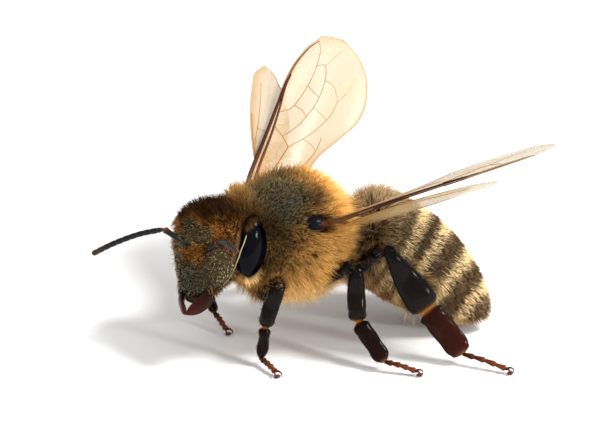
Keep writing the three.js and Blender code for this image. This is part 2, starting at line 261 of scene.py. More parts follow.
def face_zones(points):
    """Shares of each zone of the head at places on it."""
    side, ahead, up = parts(in_head(points))
    front = capped((ahead + 0.8) / 0.25)
    left = capped(side * 4)
    oval = off_oval(np.abs(side) - 0.44, up - 0.66, 0.56 - 0.24 * left, 0.5 - 0.2 * left)
    return {
        "oval": front * capped((1.5 - oval) * 1.6),
        "shield": front * capped((1.45 - off_oval(side, up + 1.0, 0.72, 0.6)) * 2),
        "cheek": front * capped((1.3 - off_oval(np.abs(side) - 1.05, up + 0.42, 0.5, 0.8)) * 1.6),
        "crown": capped((up - 1.05 + 0.12 * np.sin(side * 5)) / 0.3),
        "socket": front * swell(np.abs(side) - 0.24, up - 0.05, 0.3, 0.26),
        # painted shadow: a slanted dark bar below each feeler socket, where the feeler's stalk shades the
        # face
        "painted_scape_shadow": front * capped(1.6 * swell(np.abs(side) - 0.6 - 0.25 * (up + 0.4), up + 0.5, 0.11, 0.36)),
        "rear": capped((-0.85 - ahead) / 0.2),
        "jowl": swell(np.abs(side) - 0.92, up + 1.15, 0.2, 0.4) * capped((-0.1 - ahead) / 0.1),
    }


def head_coat_colour(points):
    """Orange round the sockets and over the brow, grey felt on the face, black-brown on the crown, and
    a painted shadow of each feeler's stalk below its socket.
    """
    zone = face_zones(points)
    colour = mixture(mixture(ORANGE, GOLD, 0.2), UMBER, 0.85 * mottle(points, 3.4)**1.5)
    colour = mixture(colour, GREY * 2.5, 0.95 * zone["cheek"])
    colour = mixture(colour, GREY * 2.1, 0.95 * zone["oval"])
    colour = mixture(colour, SHIELD_FELT, 0.95 * zone["shield"])
    colour = mixture(colour, mixture(ORANGE, UMBER, 0.35), 0.8 * zone["socket"])
    colour = mixture(colour, UMBER * 0.55, 0.95 * zone["crown"] * (1 - zone["rear"] * 0.4))
    # painted shadow of the feeler stalks below the sockets
    colour = mixture(colour, UMBER * 0.5, zone["painted_scape_shadow"])
    return mixture(colour, GOLD, 0.85 * zone["rear"] * (1 - zone["crown"]))


t = eased(HEAD_RINGS)
front, back = through(HEAD_FRONT)(t), through(HEAD_BACK)(t)
head_local = rings(
    np.stack([0 * t, (front + back) / 2, HEAD_HEIGHT[0] + (HEAD_HEIGHT[1] - HEAD_HEIGHT[0]) * t], -1),
    np.stack([through(HEAD_HALF_WIDTH)(t), 0 * t, 0 * t], -1),
    np.stack([0 * t, (front - back) / 2, 0 * t], -1),
    HEAD_SIDES, HEAD_SQUARENESS,
)
face_share = capped((head_local[..., 1] + 0.35) / 0.35)
for side, up, half_side, half_up, rise in FACE_RELIEF:
    for mirrored in {side, -side}:
        lift = rise * swell(head_local[..., 0] - mirrored, head_local[..., 2] - up, half_side, half_up)
        head_local[..., 1] += lift * face_share
head_grid = on_head(head_local)

# === Abdomen shell ==================================================================================
# Six overlapping plates, each a ring whose rear rim stands a hair's breadth over the next one. The
# row is bent down and to the bee's left, and ends in a blunt point.
ABDOMEN_AXIS = through([
    (0, (-0.1, 2.96, 3.72)), (0.22, (0.2, 3.9, 3.32)), (0.5, (0.95, 5.1, 2.42)),
    (0.79, (2.1, 6.3, 1.32)), (1, (2.98, 7.04, 0.66)),
])
ABDOMEN_HALF_WIDTH = through([
    (0, 0.3), (0.03, 1.05), (0.08, 1.55), (0.15, 1.82), (0.25, 1.96), (0.38, 1.98), (0.52, 1.87),
    (0.68, 1.56), (0.84, 1.06), (0.94, 0.6), (0.985, 0.27), (1, 0.04),
])
ABDOMEN_FLATNESS = 0.9
PLATE_RINGS, TIP_RINGS, ABDOMEN_SIDES = 24, 30, 110
PLATE_EDGES = [0, 0.15, 0.3, 0.455, 0.645, 0.83, 1]
RIM_RISE = 0.035
RIM_LENGTH = 0.004
BAND_STARTS = (0.3, 0.455, 0.645, 0.83)
BAND_WIDTH = 0.105
BUFF = np.array([0.36, 0.25, 0.13])
PLATE_BROWN = np.array([0.115, 0.066, 0.032])


def plate_rise(t):
    """How far the plates stand proud: each swells towards its rear rim and drops to the next."""
    edges = np.array(PLATE_EDGES)
    k = np.clip(np.searchsorted(edges, t, side="right") - 1, 0, len(edges) - 2)
    return RIM_RISE * ((t - edges[k]) / (edges[k + 1] - edges[k])) ** 2 * (k < len(edges) - 2)


def felt_band(t):
    """1 on the pale bands of felt, 0 between them."""
    return sum(
        capped(np.minimum((t - start) / 0.02, (start + BAND_WIDTH - t) / 0.05)) for start in BAND_STARTS)


def abdomen_coat_colour(t, turn):
    """Grey-brown on the first plates, dark brown and tan in turn behind, orange-brown on the belly."""
    belly = capped(-np.sin(turn * 2 * math.pi) * 1.5 - 0.1)
    colour = mixture(PLATE_BROWN, PLATE_BROWN * 1.9, capped((t - 0.84) * 10))
    colour = mixture(colour, BUFF * 1.25, np.clip(1.25 - t * 3.4, 0, 0.85))
    colour = mixture(colour, TAN * 1.15, 0.97 * felt_band(t))
    return mixture(colour, mixture(ORANGE, BUFF, 0.4), 0.75 * belly)


last = PLATE_EDGES[-2]
abdomen_t = np.concatenate([
    *(np.linspace(start, end - RIM_LENGTH, PLATE_RINGS)
      for start, end in zip(PLATE_EDGES, PLATE_EDGES[1:-1])),
    last + (1 - last) * np.sin(np.linspace(0, math.pi / 2, TIP_RINGS)),
])
axis = ABDOMEN_AXIS(abdomen_t)
along = unit(np.gradient(axis, abdomen_t, axis=0))
across = unit(np.cross(along, UP))
half = (ABDOMEN_HALF_WIDTH(abdomen_t) + plate_rise(abdomen_t))[:, None]
abdomen_grid = rings(axis, across * half, np.cross(across, along) * half * ABDOMEN_FLATNESS, ABDOMEN_SIDES)

# === Skin of the body ===============================================================================
# Head, neck, thorax, waist and abdomen are one continuous skin of hard brown-black shell. The neck and
# the waist are soft and narrow and lie hidden in the coat; the back of the thorax shows bare.
NECK = [on_head([0, -0.9, 0.1]), THORAX_MIDDLE + turned([0, -1.5, 0.1], THORAX_YAW)]
WAIST = [np.array([-0.15, 1.4, 3.75]), np.array([0.05, 3.6, 3.4])]
NECK_RADIUS, WAIST_RADIUS = 0.55, 0.42
ROD_RINGS, ROD_SIDES = 13, 40
SHELL_BLACK = np.array([0.010, 0.008, 0.006])
SHELL_GREY = np.array([0.030, 0.032, 0.022])
JOWL_GREY = np.array([0.10, 0.08, 0.05])


def skinned(grid):
    """Points and faces of a skin over a grid of rings, each end closed by one face."""
    rows, sides = grid.shape[:2]
    index = np.arange(rows * sides).reshape(rows, sides)
    near, far = index[:-1], index[1:]
    walls = np.stack([near, np.roll(near, -1, 1), np.roll(far, -1, 1), far], -1).reshape(-1, 4)
    ends = np.stack([index[0][::-1], index[-1]])
    half_way = rows // 2
    radial = grid[half_way, 0] - grid[half_way].mean(axis=0)
    lengthwise = grid[half_way + 1, 0] - grid[half_way, 0]
    around = grid[half_way, 1] - grid[half_way, 0]
    if np.dot(np.cross(around, lengthwise), radial) < 0:
        walls, ends = walls[:, ::-1], ends[:, ::-1]
    return grid.reshape(-1, 3), [walls, ends]


def sleeve(axis, facing, wide, deep, sides, squareness=1.0):
    """Ovals round a row of places: deep the way that facing gives, and wide across it."""
    along = unit(np.gradient(axis, axis=0))
    across = unit(np.cross(along, facing))
    return rings(axis, across * wide, np.cross(across, along) * deep, sides, squareness)


def rod(start, end, radius):
    """A straight rod between two places."""
    axis = start + (end - start) * np.linspace(0, 1, ROD_RINGS)[:, None]
    return sleeve(axis, [0.3, 0.2, 1], radius, radius, ROD_SIDES)


def placed(name, data):
    """A new thing of the scene."""
    made = bpy.data.objects.new(name, data)
    bpy.context.scene.collection.objects.link(made)
    return made


def mesh_piece(name, points, faces, colours=None):
    """A mesh of places in millimetres, in one colour, or with a colour for each of its points."""
    mesh = bpy.data.meshes.new(name)
    sizes = np.concatenate([np.full(len(f), f.shape[1]) for f in faces])
    corners = np.concatenate([f.ravel() for f in faces]).astype(np.int32)
    mesh.vertices.add(len(points))
    mesh.vertices.foreach_set("co", ((points + foot) * MM).astype(np.float32).ravel())
    mesh.loops.add(len(corners))
    mesh.loops.foreach_set("vertex_index", corners)
    mesh.polygons.add(len(sizes))
    mesh.polygons.foreach_set("loop_start", (np.cumsum(sizes) - sizes).astype(np.int32))
    mesh.update(calc_edges=True)
    mesh.shade_smooth()
    if colours is not None:
        tint = mesh.attributes.new("tint", "FLOAT_COLOR", "POINT")
        rgba = np.ones((len(points), 4))
        rgba[:, :3] = colours
        tint.data.foreach_set("color", rgba.astype(np.float32).ravel())
    return placed(name, mesh)


def belongs(made, finish, nodes=()):
    """Gives a piece its finish and hides the parts that it stands for; the whole bee is one body."""
    made.data.materials.append(finish)
    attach(made, "root")
    if nodes:
        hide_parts(*nodes)


def bee_piece(name, skin, colours, finish, slot, nodes=()):
    """A piece of the bee out of a skin's points and faces."""
    belongs(mesh_piece(name, *skin, colours), finish, nodes)


class Flow:
    """What runs out of one socket of a finish's nodes: arithmetic on it adds Math nodes."""

    def __init__(self, tree, socket=None):
        self.tree = tree
        self.socket = socket

    def node(self, kind, settings, sockets, out=0):
        made = self.tree.nodes.new(kind)
        for key, value in settings.items():
            setattr(made, key, value)
        for key, value in sockets.items():
            if isinstance(value, Flow):
                self.tree.links.new(value.socket, made.inputs[key])
            else:
                made.inputs[key].default_value = value
        return Flow(self.tree, made.outputs[out] if made.outputs else None)

    def maths(self, operation, first, second):
        return self.node("ShaderNodeMath", {"operation": operation}, {0: first, 1: second})

    def __add__(self, other):
        return self.maths("ADD", self, other)

    __radd__ = __add__

    def __sub__(self, other):
        return self.maths("SUBTRACT", self, other)

    def __rsub__(self, other):
        return self.maths("SUBTRACT", other, self)

    def __mul__(self, other):
        return self.maths("MULTIPLY", self, other)

    __rmul__ = __mul__

    def shaded(self, amount):
        """A colour made lighter or darker by a number that changes over the surface."""
        return self.node("ShaderNodeVectorMath", {"operation": "SCALE"}, {0: self, "Scale": amount})

    def between(self, first, second):
        """A colour that goes from the first to the second as this share goes from 0 to 1."""
        return self.node("ShaderNodeMix", {"data_type": "RGBA"}, {0: self, 6: first, 7: second}, out=2)

    def speckle(self, place, scale, detail=3.0):
        """Soft grain from 0 to 1; scale is in grains per millimetre."""
        return self.node(
            "ShaderNodeTexNoise", {}, {"Vector": place, "Scale": scale, "Detail": detail, "Roughness": 0.6})

    def cells(self, place, scale):
        """Distance from the middle of the nearest cell; scale is in cells per millimetre."""
        return self.node("ShaderNodeTexVoronoi", {}, {"Vector": place, "Scale": scale})

    def raised(self, height, depth):
        """The bump of a height from 0 to 1, depth in millimetres."""
        return self.node("ShaderNodeBump", {}, {"Height": height, "Distance": depth * MM, "Strength": 1.0})

    def tinted(self):
        """The points' own colours."""
        return self.node("ShaderNodeAttribute", {"attribute_name": "tint"}, {})


def finish_of(name, look):
    """A new material: its look is handed its first flow and its places in millimetres, and says what
    feeds the shader. What varies is linked, and what is the same all over is set on its socket."""
    material = bpy.data.materials.new(name)
    material.use_nodes = True
    material.node_tree.nodes.clear()
    start = Flow(material.node_tree)
    place = start.node("ShaderNodeTexCoord", {}, {}, out=3)
    per_mm = start.node("ShaderNodeVectorMath", {"operation": "SCALE"}, {0: place, "Scale": 1 / MM})
    shader = start.node("ShaderNodeBsdfPrincipled", {}, look(start, per_mm))
    start.node("ShaderNodeOutputMaterial", {}, {"Surface": shader})
    return material


def shell_finish(name, roughness, grain, depth, gloss):
    """Hard shell: pitted like fine leather, lighter and darker in soft patches."""
    def look(start, place):
        patches = start.speckle(place, 2.5)
        pits = start.cells(place, grain)
        fine = start.speckle(place, grain * 2.5, 2.0)
        return {
            "Base Color": start.tinted().shaded(patches * 0.9 + 0.55),
            "Roughness": patches * 0.16 + fine * 0.1 + (roughness - 0.13),
            "Specular IOR Level": gloss,
            "Normal": start.raised(pits * 0.7 + fine * 0.5, depth),
        }

    return finish_of(name, look)


def markings():
    """The skin's colours on each of its shells: dark, with a little of the coat's own marking."""
    thorax = mixture(SHELL_BLACK, thorax_coat_colour(thorax_grid), 0.12)
    thorax = mixture(thorax, SHELL_GREY, bare_back(thorax_grid))
    head = mixture(SHELL_BLACK * 0.7, head_coat_colour(head_grid), 0.06)
    head = mixture(head, JOWL_GREY, face_zones(head_grid)["jowl"])
    turn = np.arange(abdomen_grid.shape[1]) / abdomen_grid.shape[1]
    across_t, across_turn = np.meshgrid(abdomen_t, turn, indexing="ij")
    abdomen = mixture(SHELL_BLACK, abdomen_coat_colour(across_t, across_turn), 0.4)
    return {"thorax": thorax, "head": head, "abdomen": abdomen}


def body_of_shells():
    """Head, neck, thorax, waist and abdomen joined into one closed skin."""
    grids = {
        "thorax": thorax_grid, "head": head_grid, "abdomen": abdomen_grid,
        "neck": rod(*NECK, NECK_RADIUS), "waist": rod(*WAIST, WAIST_RADIUS),
    }
    colours = markings()
    shells = {}
    for name, grid in grids.items():
        points, faces = skinned(grid)
        tints = colours[name].reshape(-1, 3) if name in colours else SHELL_BLACK
        shells[name] = mesh_piece(f"shell_{name}", points, faces, tints)
    body = shells.pop("thorax")
    for other in shells.values():
        weld = body.modifiers.new("weld", "BOOLEAN")
        weld.operation = "UNION"
        weld.solver = "EXACT"
        weld.object = other
    solid = bpy.data.meshes.new_from_object(body.evaluated_get(bpy.context.evaluated_depsgraph_get()))
    for used in (body, *shells.values()):
        bpy.data.objects.remove(used)
    return solid


body_shell = shell_finish("body_shell", roughness=0.42, grain=14, depth=0.012, gloss=0.12)
belongs(
    placed("skin", body_of_shells()), body_shell,
    ["thorax", "head", "waist", *(f"abdomen_{plate}" for plate in range(1, 7))])

# === Compound eyes ==================================================================================
# Two tall glossy domes that wrap the sides of the head, black with a blue cast, made of thousands of
# tiny six-sided lenses and set fast in the shell of the head.
EYE_MIDDLE = np.array([1.66, -1.12, 0.34])
EYE_HALF_SIZES = np.array([0.46, 0.66, 1.13])
EYE_CANT = math.radians(7)
EYE_BLACK = np.array([0.0006, 0.0006, 0.0022])
LENSES_PER_MM = 38


def dome(half_sizes, sides=72, steps=60):
    """A closed ball of rings stretched to its half sizes, upright."""
    t = eased(steps)
    radius = np.sqrt(np.clip(1 - (2 * t - 1) ** 2, 1e-4, 1))
    return rings(
        np.stack([0 * t, 0 * t, (2 * t - 1) * half_sizes[2]], -1),
        np.stack([radius * half_sizes[0], 0 * t, 0 * t], -1),
        np.stack([0 * t, radius * half_sizes[1], 0 * t], -1), sides)


def leant(points, angle):
    """The points turned about their lengthwise axis."""
    x, y, z = parts(points)
    c, s = math.cos(angle), math.sin(angle)
    return np.stack([x * c + z * s, y, z * c - x * s], -1)


def sided(place, side):
    """A place given for the left side, on the side that is asked for."""
    return np.array(place) * [side, 1, 1]


def eye_grid(side):
    """The dome of one eye on the head; its inner edge is drawn in a little at the middle."""
    ball = dome(EYE_HALF_SIZES)
    waist = 0.06 * np.exp(-((ball[..., 2] - 0.25) / 0.35) ** 2)
    ball[..., 1] += waist * capped(-ball[..., 1] / EYE_HALF_SIZES[1])
    return on_head(leant(ball, side * EYE_CANT) * [1, -1, 1] + sided(EYE_MIDDLE, side))


def facet_look(start, place):
    """Glossy, with thousands of tiny lenses."""
    lenses = start.cells(place, LENSES_PER_MM)
    patches = start.speckle(place, 1.5)
    return {
        "Base Color": start.tinted().shaded(patches * 0.8 + 0.6),
        "Roughness": patches * 0.04 + 0.085,
        "Specular IOR Level": 0.085,
        "Normal": start.raised(1 - lenses, 0.0012),
    }


facets = finish_of("eye_facets", facet_look)
for side, name in SIDES:
    bee_piece(f"eye_{name}_dome", skinned(eye_grid(side)), EYE_BLACK, facets, "eye", [f"eye_{name}"])

# === Lip, jaws, margins of the eyes and simple eyes =================================================
# Under the face shield hangs a short lip; the two jaws are smooth red-brown spoons hinged at the
# cheeks, their tips together below it. A thin pale margin of shell parts each compound eye from the
# face, and three bead eyes sit in a triangle on the crown.
LIP = {"place": [0, 0.02, -1.74], "half_sizes": np.array([0.42, 0.15, 0.16])}
JAW_JOINTS = [(0, (0.7, -0.14, -1.44)), (0.5, (0.52, 0.14, -1.9)), (1, (0.02, 0.38, -2.33))]
JAW_WIDTH = [(0, 0.05), (0.04, 0.19), (0.2, 0.25), (0.45, 0.27), (0.7, 0.24), (0.9, 0.14), (1, 0.04)]
JAW_FACING = (0.8, 0.7, 0)
JAW_DEPTH = [(0, 0.05), (0.04, 0.14), (0.3, 0.14), (0.6, 0.1), (0.93, 0.07), (1, 0.03)]
JAW_RED = np.array([0.055, 0.0045, 0.0015])
JAW_DARK = np.array([0.008, 0.003, 0.002])
LIP_BROWN = np.array([0.03, 0.014, 0.008])
BEAD_EYES = [(0, -0.22, 1.42), (0.24, -0.42, 1.56), (-0.24, -0.42, 1.56)]
BEAD_RADIUS = 0.1
LEAST_RADIUS = 0.01
MARGIN_PALE = np.array([0.50, 0.40, 0.22])
MARGIN_RADIUS, MARGIN_RINGS = 0.03, 60
MARGIN_WAY = [
    (1.82, -0.6, 0.78), (1.78, -0.55, 0.5), (1.69, -0.49, 0.17), (1.61, -0.49, -0.07), (1.4, -0.54, -0.47),
    (1.2, -0.56, -0.8), (1.0, -0.44, -1.12), (0.84, -0.28, -1.36),
]


def blade(path, widths, depths, facing, sides=40, steps=48, squareness=1.0):
    """A bent limb or blade along a smooth path; facing is the way its broad face looks."""
    t = eased(steps)
    wide, deep = (np.maximum(through(profile)(t), LEAST_RADIUS)[:, None] for profile in (widths, depths))
    return sleeve(path(t), facing, wide, deep, sides, squareness), t


def tube(path, start, end, sides=7):
    """A thin tube along a row of places, tapering from its start to its end."""
    radius = np.linspace(start, end, len(path))[:, None]
    return sleeve(path, [0.31, 0.22, 0.93], radius, radius, sides)


def smooth_way(places, count):
    """A row of places on a smooth way through a few, the same number between each two."""
    return through(list(enumerate(places)))(np.linspace(0, len(places) - 1, count))


def joined(shells):
    """Several skins as one list of points and faces."""
    points, faces, start = [], [], 0
    for shell_points, shell_faces in shells:
        points.append(shell_points)
        faces += [f + start for f in shell_faces]
        start += len(shell_points)
    return np.concatenate(points), faces


def row_colours(grid, colours):
    """One colour for each ring, given to all of its places."""
    return np.repeat(np.asarray(colours, float), grid.shape[1], axis=0)


gloss_shell = shell_finish("gloss_shell", roughness=0.22, grain=9, depth=0.004, gloss=0.08)
jaw_shell = shell_finish("jaw_shell", roughness=0.2, grain=7, depth=0.003, gloss=0.14)
lip_grid = on_head(dome(LIP["half_sizes"], 40, 24) * [1, -1, 1] + LIP["place"])
bee_piece("lip", skinned(lip_grid), LIP_BROWN, gloss_shell, "shell", ["labrum"])

for side, name in SIDES:
    joints = through([(at, on_head(sided(place, side))) for at, place in JAW_JOINTS])
    grid, t = blade(joints, JAW_WIDTH, JAW_DEPTH, head_way(*sided(JAW_FACING, side)))
    colours = row_colours(grid, mixture(JAW_DARK, JAW_RED, 1.3 * t - 0.15))
    bee_piece(f"jaw_{name}", skinned(grid), colours, jaw_shell, "mandible", [f"mandible_{name}"])

for side, name in SIDES:
    line = smooth_way([on_head(sided(place, side)) for place in MARGIN_WAY], MARGIN_RINGS)
    grid = tube(line, MARGIN_RADIUS, MARGIN_RADIUS * 0.6)
    colours = row_colours(grid, mixture(MARGIN_PALE, JOWL_GREY, np.linspace(-0.4, 0.9, MARGIN_RINGS)))
    bee_piece(f"eye_{name}_margin", skinned(grid), colours, jaw_shell, "shell")

beads = [skinned(on_head(dome(np.full(3, BEAD_RADIUS), 24, 16) + place)) for place in BEAD_EYES]
bee_piece("bead_eyes", joined(beads), EYE_BLACK, facets, "eye")

# === Feelers ========================================================================================
# Each feeler is a stiff polished scape from its face socket to the elbow, a small hinge ring there,
# and a whip of ten short ring joints, dull black and a little redder towards the tip.
FEELERS = {
    "right": {
        "socket": (-0.32, 0.04, 0.12),
        "elbow": (-1.23, -4.42, 4.78),
        "whip": [(-1.95, -5.13, 4.42), (-2.66, -5.85, 3.9), (-3.28, -6.5, 3.33)],
    },
    "left": {
        "socket": (0.45, 0.1, -0.1),
        "elbow": (0.88, -3.17, 4.8),
        "whip": [(1.6, -3.35, 5.2), (2.35, -3.42, 5.42), (3.07, -3.38, 5.4)],
    },
}
SCAPE_RADIUS = [(0, 0.1), (0.05, 0.14), (0.12, 0.085), (0.5, 0.1), (0.85, 0.115), (0.96, 0.12), (1, 0.07)]
WHIP_RADIUS = 0.108
WHIP_JOINTS, JOINT_RINGS = 11, 12
FEELER_BLACK = np.array([0.006, 0.005, 0.005])
FEELER_AMBER = np.array([0.16, 0.06, 0.02])
FEELER_RED = np.array([0.07, 0.022, 0.012])
feeler_shell = shell_finish("feeler_shell", roughness=0.24, grain=9, depth=0.003, gloss=0.25)
scape_lines = []


def bent(start, middle, end):
    """A smooth path through three places, the second of them half way."""
    return through([(0, start), (0.5, middle), (1, end)])


def whip_radius(t):
    """Ring joints: each is a barrel, with a waist between it and the next."""
    joint = (t * WHIP_JOINTS) % 1
    barrel = 1 - 0.22 * np.abs(2 * joint - 1) ** 6
    tip = np.sqrt(np.clip(1 - capped((t - 0.96) / 0.04) ** 2, 0.01, 1))
    neck = capped(0.55 + t * 6)
    return WHIP_RADIUS * barrel * tip * neck


for name, feeler in FEELERS.items():
    socket, elbow = on_head(feeler["socket"]), np.array(feeler["elbow"])
    middle = (socket + elbow) / 2 + UP * 0.05 + head_way(0, 1, 0) * 0.08
    scape_lines.append((socket, middle, elbow))
    grid, t = blade(bent(socket, middle, elbow), SCAPE_RADIUS, SCAPE_RADIUS, UP, 32, 48)
    colours = mixture(FEELER_BLACK, FEELER_AMBER, 3 * np.abs(t - 0.02) ** 14 + (t < 0.08) * 0.5)
    colours = row_colours(grid, colours)
    bee_piece(f"scape_{name}_stalk", skinned(grid), colours, feeler_shell, "shell", [f"scape_{name}"])
    t = np.linspace(0, 1, WHIP_JOINTS * JOINT_RINGS + 1)
    radius = whip_radius(t)[:, None]
    grid = sleeve(smooth_way([elbow, *feeler["whip"]], len(t)), UP, radius, radius, 28)
    colours = mixture(FEELER_BLACK, FEELER_RED, (t - 0.7) * 3) + FEELER_AMBER * np.exp(-t * 60)[:, None]
    colours = row_colours(grid, colours)
    bee_piece(f"flagellum_{name}_whip", skinned(grid), colours, feeler_shell, "shell", [f"flagellum_{name}"])

# === Wing scales and hinges =========================================================================
# A small polished blue-black cap of shell covers the root of each forewing, and behind it a row of
# red-brown knobs of shell carries the wing.
SCALE_HALF_SIZES = np.array([0.27, 0.36, 0.2])
SCALE_BLACK = np.array([0.003, 0.004, 0.007])
HINGE_RED = np.array([0.05, 0.009, 0.003])
SCALE_CANT = math.radians(40)
KNOB_SHAPE = np.array([1, 1.2, 0.8])
KNOBS = ((0.15, 0.17), (0.5, 0.2), (0.85, 0.18))
WING_ROOTS = {1: (1.85, 0.8, 5.2), -1: (-2.03, -0.7, 5.18)}
for side, name in SIDES:
    ball = dome(SCALE_HALF_SIZES, 40, 30)
    grid = THORAX_MIDDLE + turned(sided(SCALE_PLACE, side), THORAX_YAW) + leant(ball, side * SCALE_CANT)
    bee_piece(f"wing_scale_{name}", skinned(grid), SCALE_BLACK, gloss_shell, "shell", [f"tegula_{name}"])
    wing_root = np.array(WING_ROOTS[side])
    start = grid.mean(axis=(0, 1)) + [0.1 * side, 0.1, 0]
    sclerites = []
    for share, radius in KNOBS:
        knob = dome(radius * KNOB_SHAPE, 24, 16)
        sclerites.append(skinned(knob + start + (wing_root - start) * share))
    bee_piece(f"wing_hinge_{name}", joined(sclerites), HINGE_RED, gloss_shell, "shell")

# === Wings ==========================================================================================
# Two pairs of clear membranes, tinted amber near the root and stiffened by brown veins. The front edge
# of a forewing is one strong dark vein; the net of cells behind it is what sets a honey bee apart.
# Outlines and veins are given as parts of the wing's length: along it, and ahead of its front line.
MEMBRANE_THICKNESS = 0.014
FOREWING = {
    "length": 9.0,
    "front": [(0, 0), (0.1, 0.018), (0.3, 0.02), (0.5, 0.024), (0.62, 0.03), (0.8, 0.012), (0.92, -0.03),
              (0.98, -0.08), (1, -0.14)],
    "rear": [(0, -0.05), (0.05, -0.075), (0.16, -0.16), (0.27, -0.215), (0.36, -0.235), (0.5, -0.29),
             (0.66, -0.345), (0.8, -0.335), (0.92, -0.275), (0.98, -0.2), (1, -0.15)],
    "veins": [
        # (half thickness in mm at each end, darkness, way)
        (0.17, 0.09, 0.95, [(-0.035, -0.015), (0.0, -0.012), (0.03, -0.004), (0.08, 0.006)]),
        (0.1, 0.05, 1, [(0, -0.004), (0.1, 0.012), (0.3, 0.013), (0.5, 0.016), (0.6, 0.02)]),
        (0.06, 0.04, 0.9, [(0, -0.03), (0.15, -0.012), (0.35, -0.008), (0.5, 0.002), (0.58, 0.012)]),
        (0.085, 0.05, 1, [(0.54, 0.012), (0.59, 0.016), (0.64, 0.018), (0.69, 0.014)]),
        (0.05, 0.02, 0.7, [(0.64, 0.02), (0.75, 0.012), (0.86, -0.014), (0.93, -0.045)]),
        (0.022, 0.012, 0.18, [(0.48, -0.002), (0.53, -0.045), (0.62, -0.066), (0.75, -0.078), (0.87, -0.07),
                            (0.93, -0.045)]),
        (0.034, 0.022, 0.36, [(0, -0.04), (0.12, -0.062), (0.24, -0.082), (0.33, -0.095)]),
        (0.022, 0.019, 0.18, [(0.33, -0.095), (0.37, -0.055), (0.4, -0.01)]),
        (0.019, 0.015, 0.18, [(0.37, -0.055), (0.44, -0.092), (0.52, -0.118), (0.62, -0.136), (0.74, -0.135),
                            (0.82, -0.112), (0.8, -0.078)]),
        (0.019, 0.015, 0.09, [(0.55, -0.05), (0.545, -0.085), (0.52, -0.118)]),
        (0.019, 0.015, 0.09, [(0.68, -0.072), (0.66, -0.105), (0.645, -0.137)]),
        (0.019, 0.015, 0.09, [(0.33, -0.095), (0.42, -0.15), (0.5, -0.186), (0.6, -0.216), (0.68, -0.222)]),
        (0.015, 0.012, 0.09, [(0.585, -0.13), (0.57, -0.17), (0.56, -0.205)]),
        (0.015, 0.012, 0.09, [(0.745, -0.135), (0.74, -0.18), (0.68, -0.222)]),
        (0.028, 0.015, 0.27, [(0, -0.046), (0.08, -0.085), (0.18, -0.14), (0.28, -0.186), (0.38, -0.212),
                             (0.46, -0.215)]),
        (0.015, 0.012, 0.09, [(0.4, -0.138), (0.4, -0.175), (0.385, -0.212)]),
        (0.012, 0.007, 0, [(0.68, -0.222), (0.76, -0.25), (0.84, -0.26)]),
        (0.012, 0.007, 0, [(0.82, -0.112), (0.9, -0.14), (0.95, -0.16)]),
    ],
}
HINDWING = {
    "length": 6.4,
    "front": [(0, 0), (0.15, 0.02), (0.35, 0.03), (0.6, 0.015), (0.8, -0.02), (0.93, -0.06), (1, -0.13)],
    "rear": [(0, -0.05), (0.08, -0.12), (0.2, -0.25), (0.34, -0.29), (0.46, -0.25), (0.58, -0.285),
             (0.75, -0.28), (0.9, -0.235), (0.98, -0.18), (1, -0.14)],
    "veins": [
        (0.031, 0.022, 0.36, [(0, -0.01), (0.15, 0.006), (0.35, 0.016), (0.6, 0.002)]),
        (0.022, 0.012, 0.18, [(0.35, 0.014), (0.5, -0.03), (0.65, -0.06), (0.85, -0.09)]),
        (0.028, 0.012, 0.27, [(0, -0.03), (0.15, -0.08), (0.32, -0.13), (0.5, -0.16), (0.72, -0.2)]),
        (0.015, 0.012, 0.09, [(0.5, -0.03), (0.48, -0.1), (0.46, -0.155)]),
        (0.019, 0.009, 0.09, [(0, -0.04), (0.12, -0.13), (0.25, -0.21), (0.36, -0.25)]),
    ],
}
WINGS = {
    "forewing_left": {"root": WING_ROOTS[1], "reach": (5.02, 6.51, 3.6), "trail": (-0.73, 0.66, -0.19)},
    "forewing_right": {"root": WING_ROOTS[-1], "reach": (-5.69, 5.75, 3.95), "trail": (0.41, 0.76, -0.51)},
    "hindwing_left": {"root": (1.76, 1.2, 4.93), "reach": (3.9, 4.31, 2.67), "trail": (-0.53, 0.74, -0.42)},
    "hindwing_right": {
        "root": (-1.98, 0.0, 5.05), "reach": (-5.13, 1.79, 3.38), "trail": (-0.01, 0.88, -0.48)},
}
WING_CAMBER = 0.16
VEIN_RINGS = 8
VEIN_DARK = np.array([0.045, 0.009, 0.0025])
VEIN_AMBER = np.array([0.50, 0.26, 0.09])
MEMBRANE_CLEAR = np.array([0.58, 0.45, 0.25])
MEMBRANE_AMBER = np.array([0.50, 0.24, 0.05])


def plan_of(name):
    """What a wing's outline and veins are."""
    return FOREWING if name.startswith("fore") else HINDWING


def on_wing(name, along, ahead):
    """The place of a spot of a wing, with the shallow pleats that stiffen it."""
    wing = WINGS[name]
    length = plan_of(name)["length"]
    span = unit(np.array(wing["reach"]))
    normal = unit(np.cross(span, wing["trail"]))
    chord = np.cross(normal, span)
    rise = WING_CAMBER * np.sin(math.pi * capped(along)) * np.cos(-ahead / 0.34 * 2.2 * math.pi)
    return (
        np.array(wing["root"]) + span * (along * length)[..., None] - chord * (ahead * length)[..., None]
        + normal * (rise * capped(along * 4) * 0.5)[..., None]
    )


def membrane(name, plan):
    """A thin closed sheet from the wing's front edge to its rear one, denser towards the tip."""
    t = np.sin(np.linspace(0, math.pi / 2, 90))[:, None]
    share = np.linspace(0, 1, 37)[None]
    front, rear = through(plan["front"])(t), through(plan["rear"])(t)
    ahead = front + (rear - front) * share
    sheet = on_wing(name, t + 0 * share, ahead)
    normal = np.cross(unit(np.array(WINGS[name]["reach"])), WINGS[name]["trail"])
    lift = unit(normal) * MEMBRANE_THICKNESS / 2
    loop = np.concatenate([sheet + lift, (sheet - lift)[:, ::-1]], axis=1)
    root_tint = np.exp(-((t + 0 * share) / 0.3) ** 2) * 0.9
    front_tint = np.exp(-((ahead - front) / 0.05) ** 2) * 0.55
    rear_tint = np.exp(-((ahead - rear) / 0.015) ** 2) * 0.5
    tint = capped(root_tint + front_tint + rear_tint)
    return loop, np.concatenate([tint, tint[:, ::-1]], axis=1)


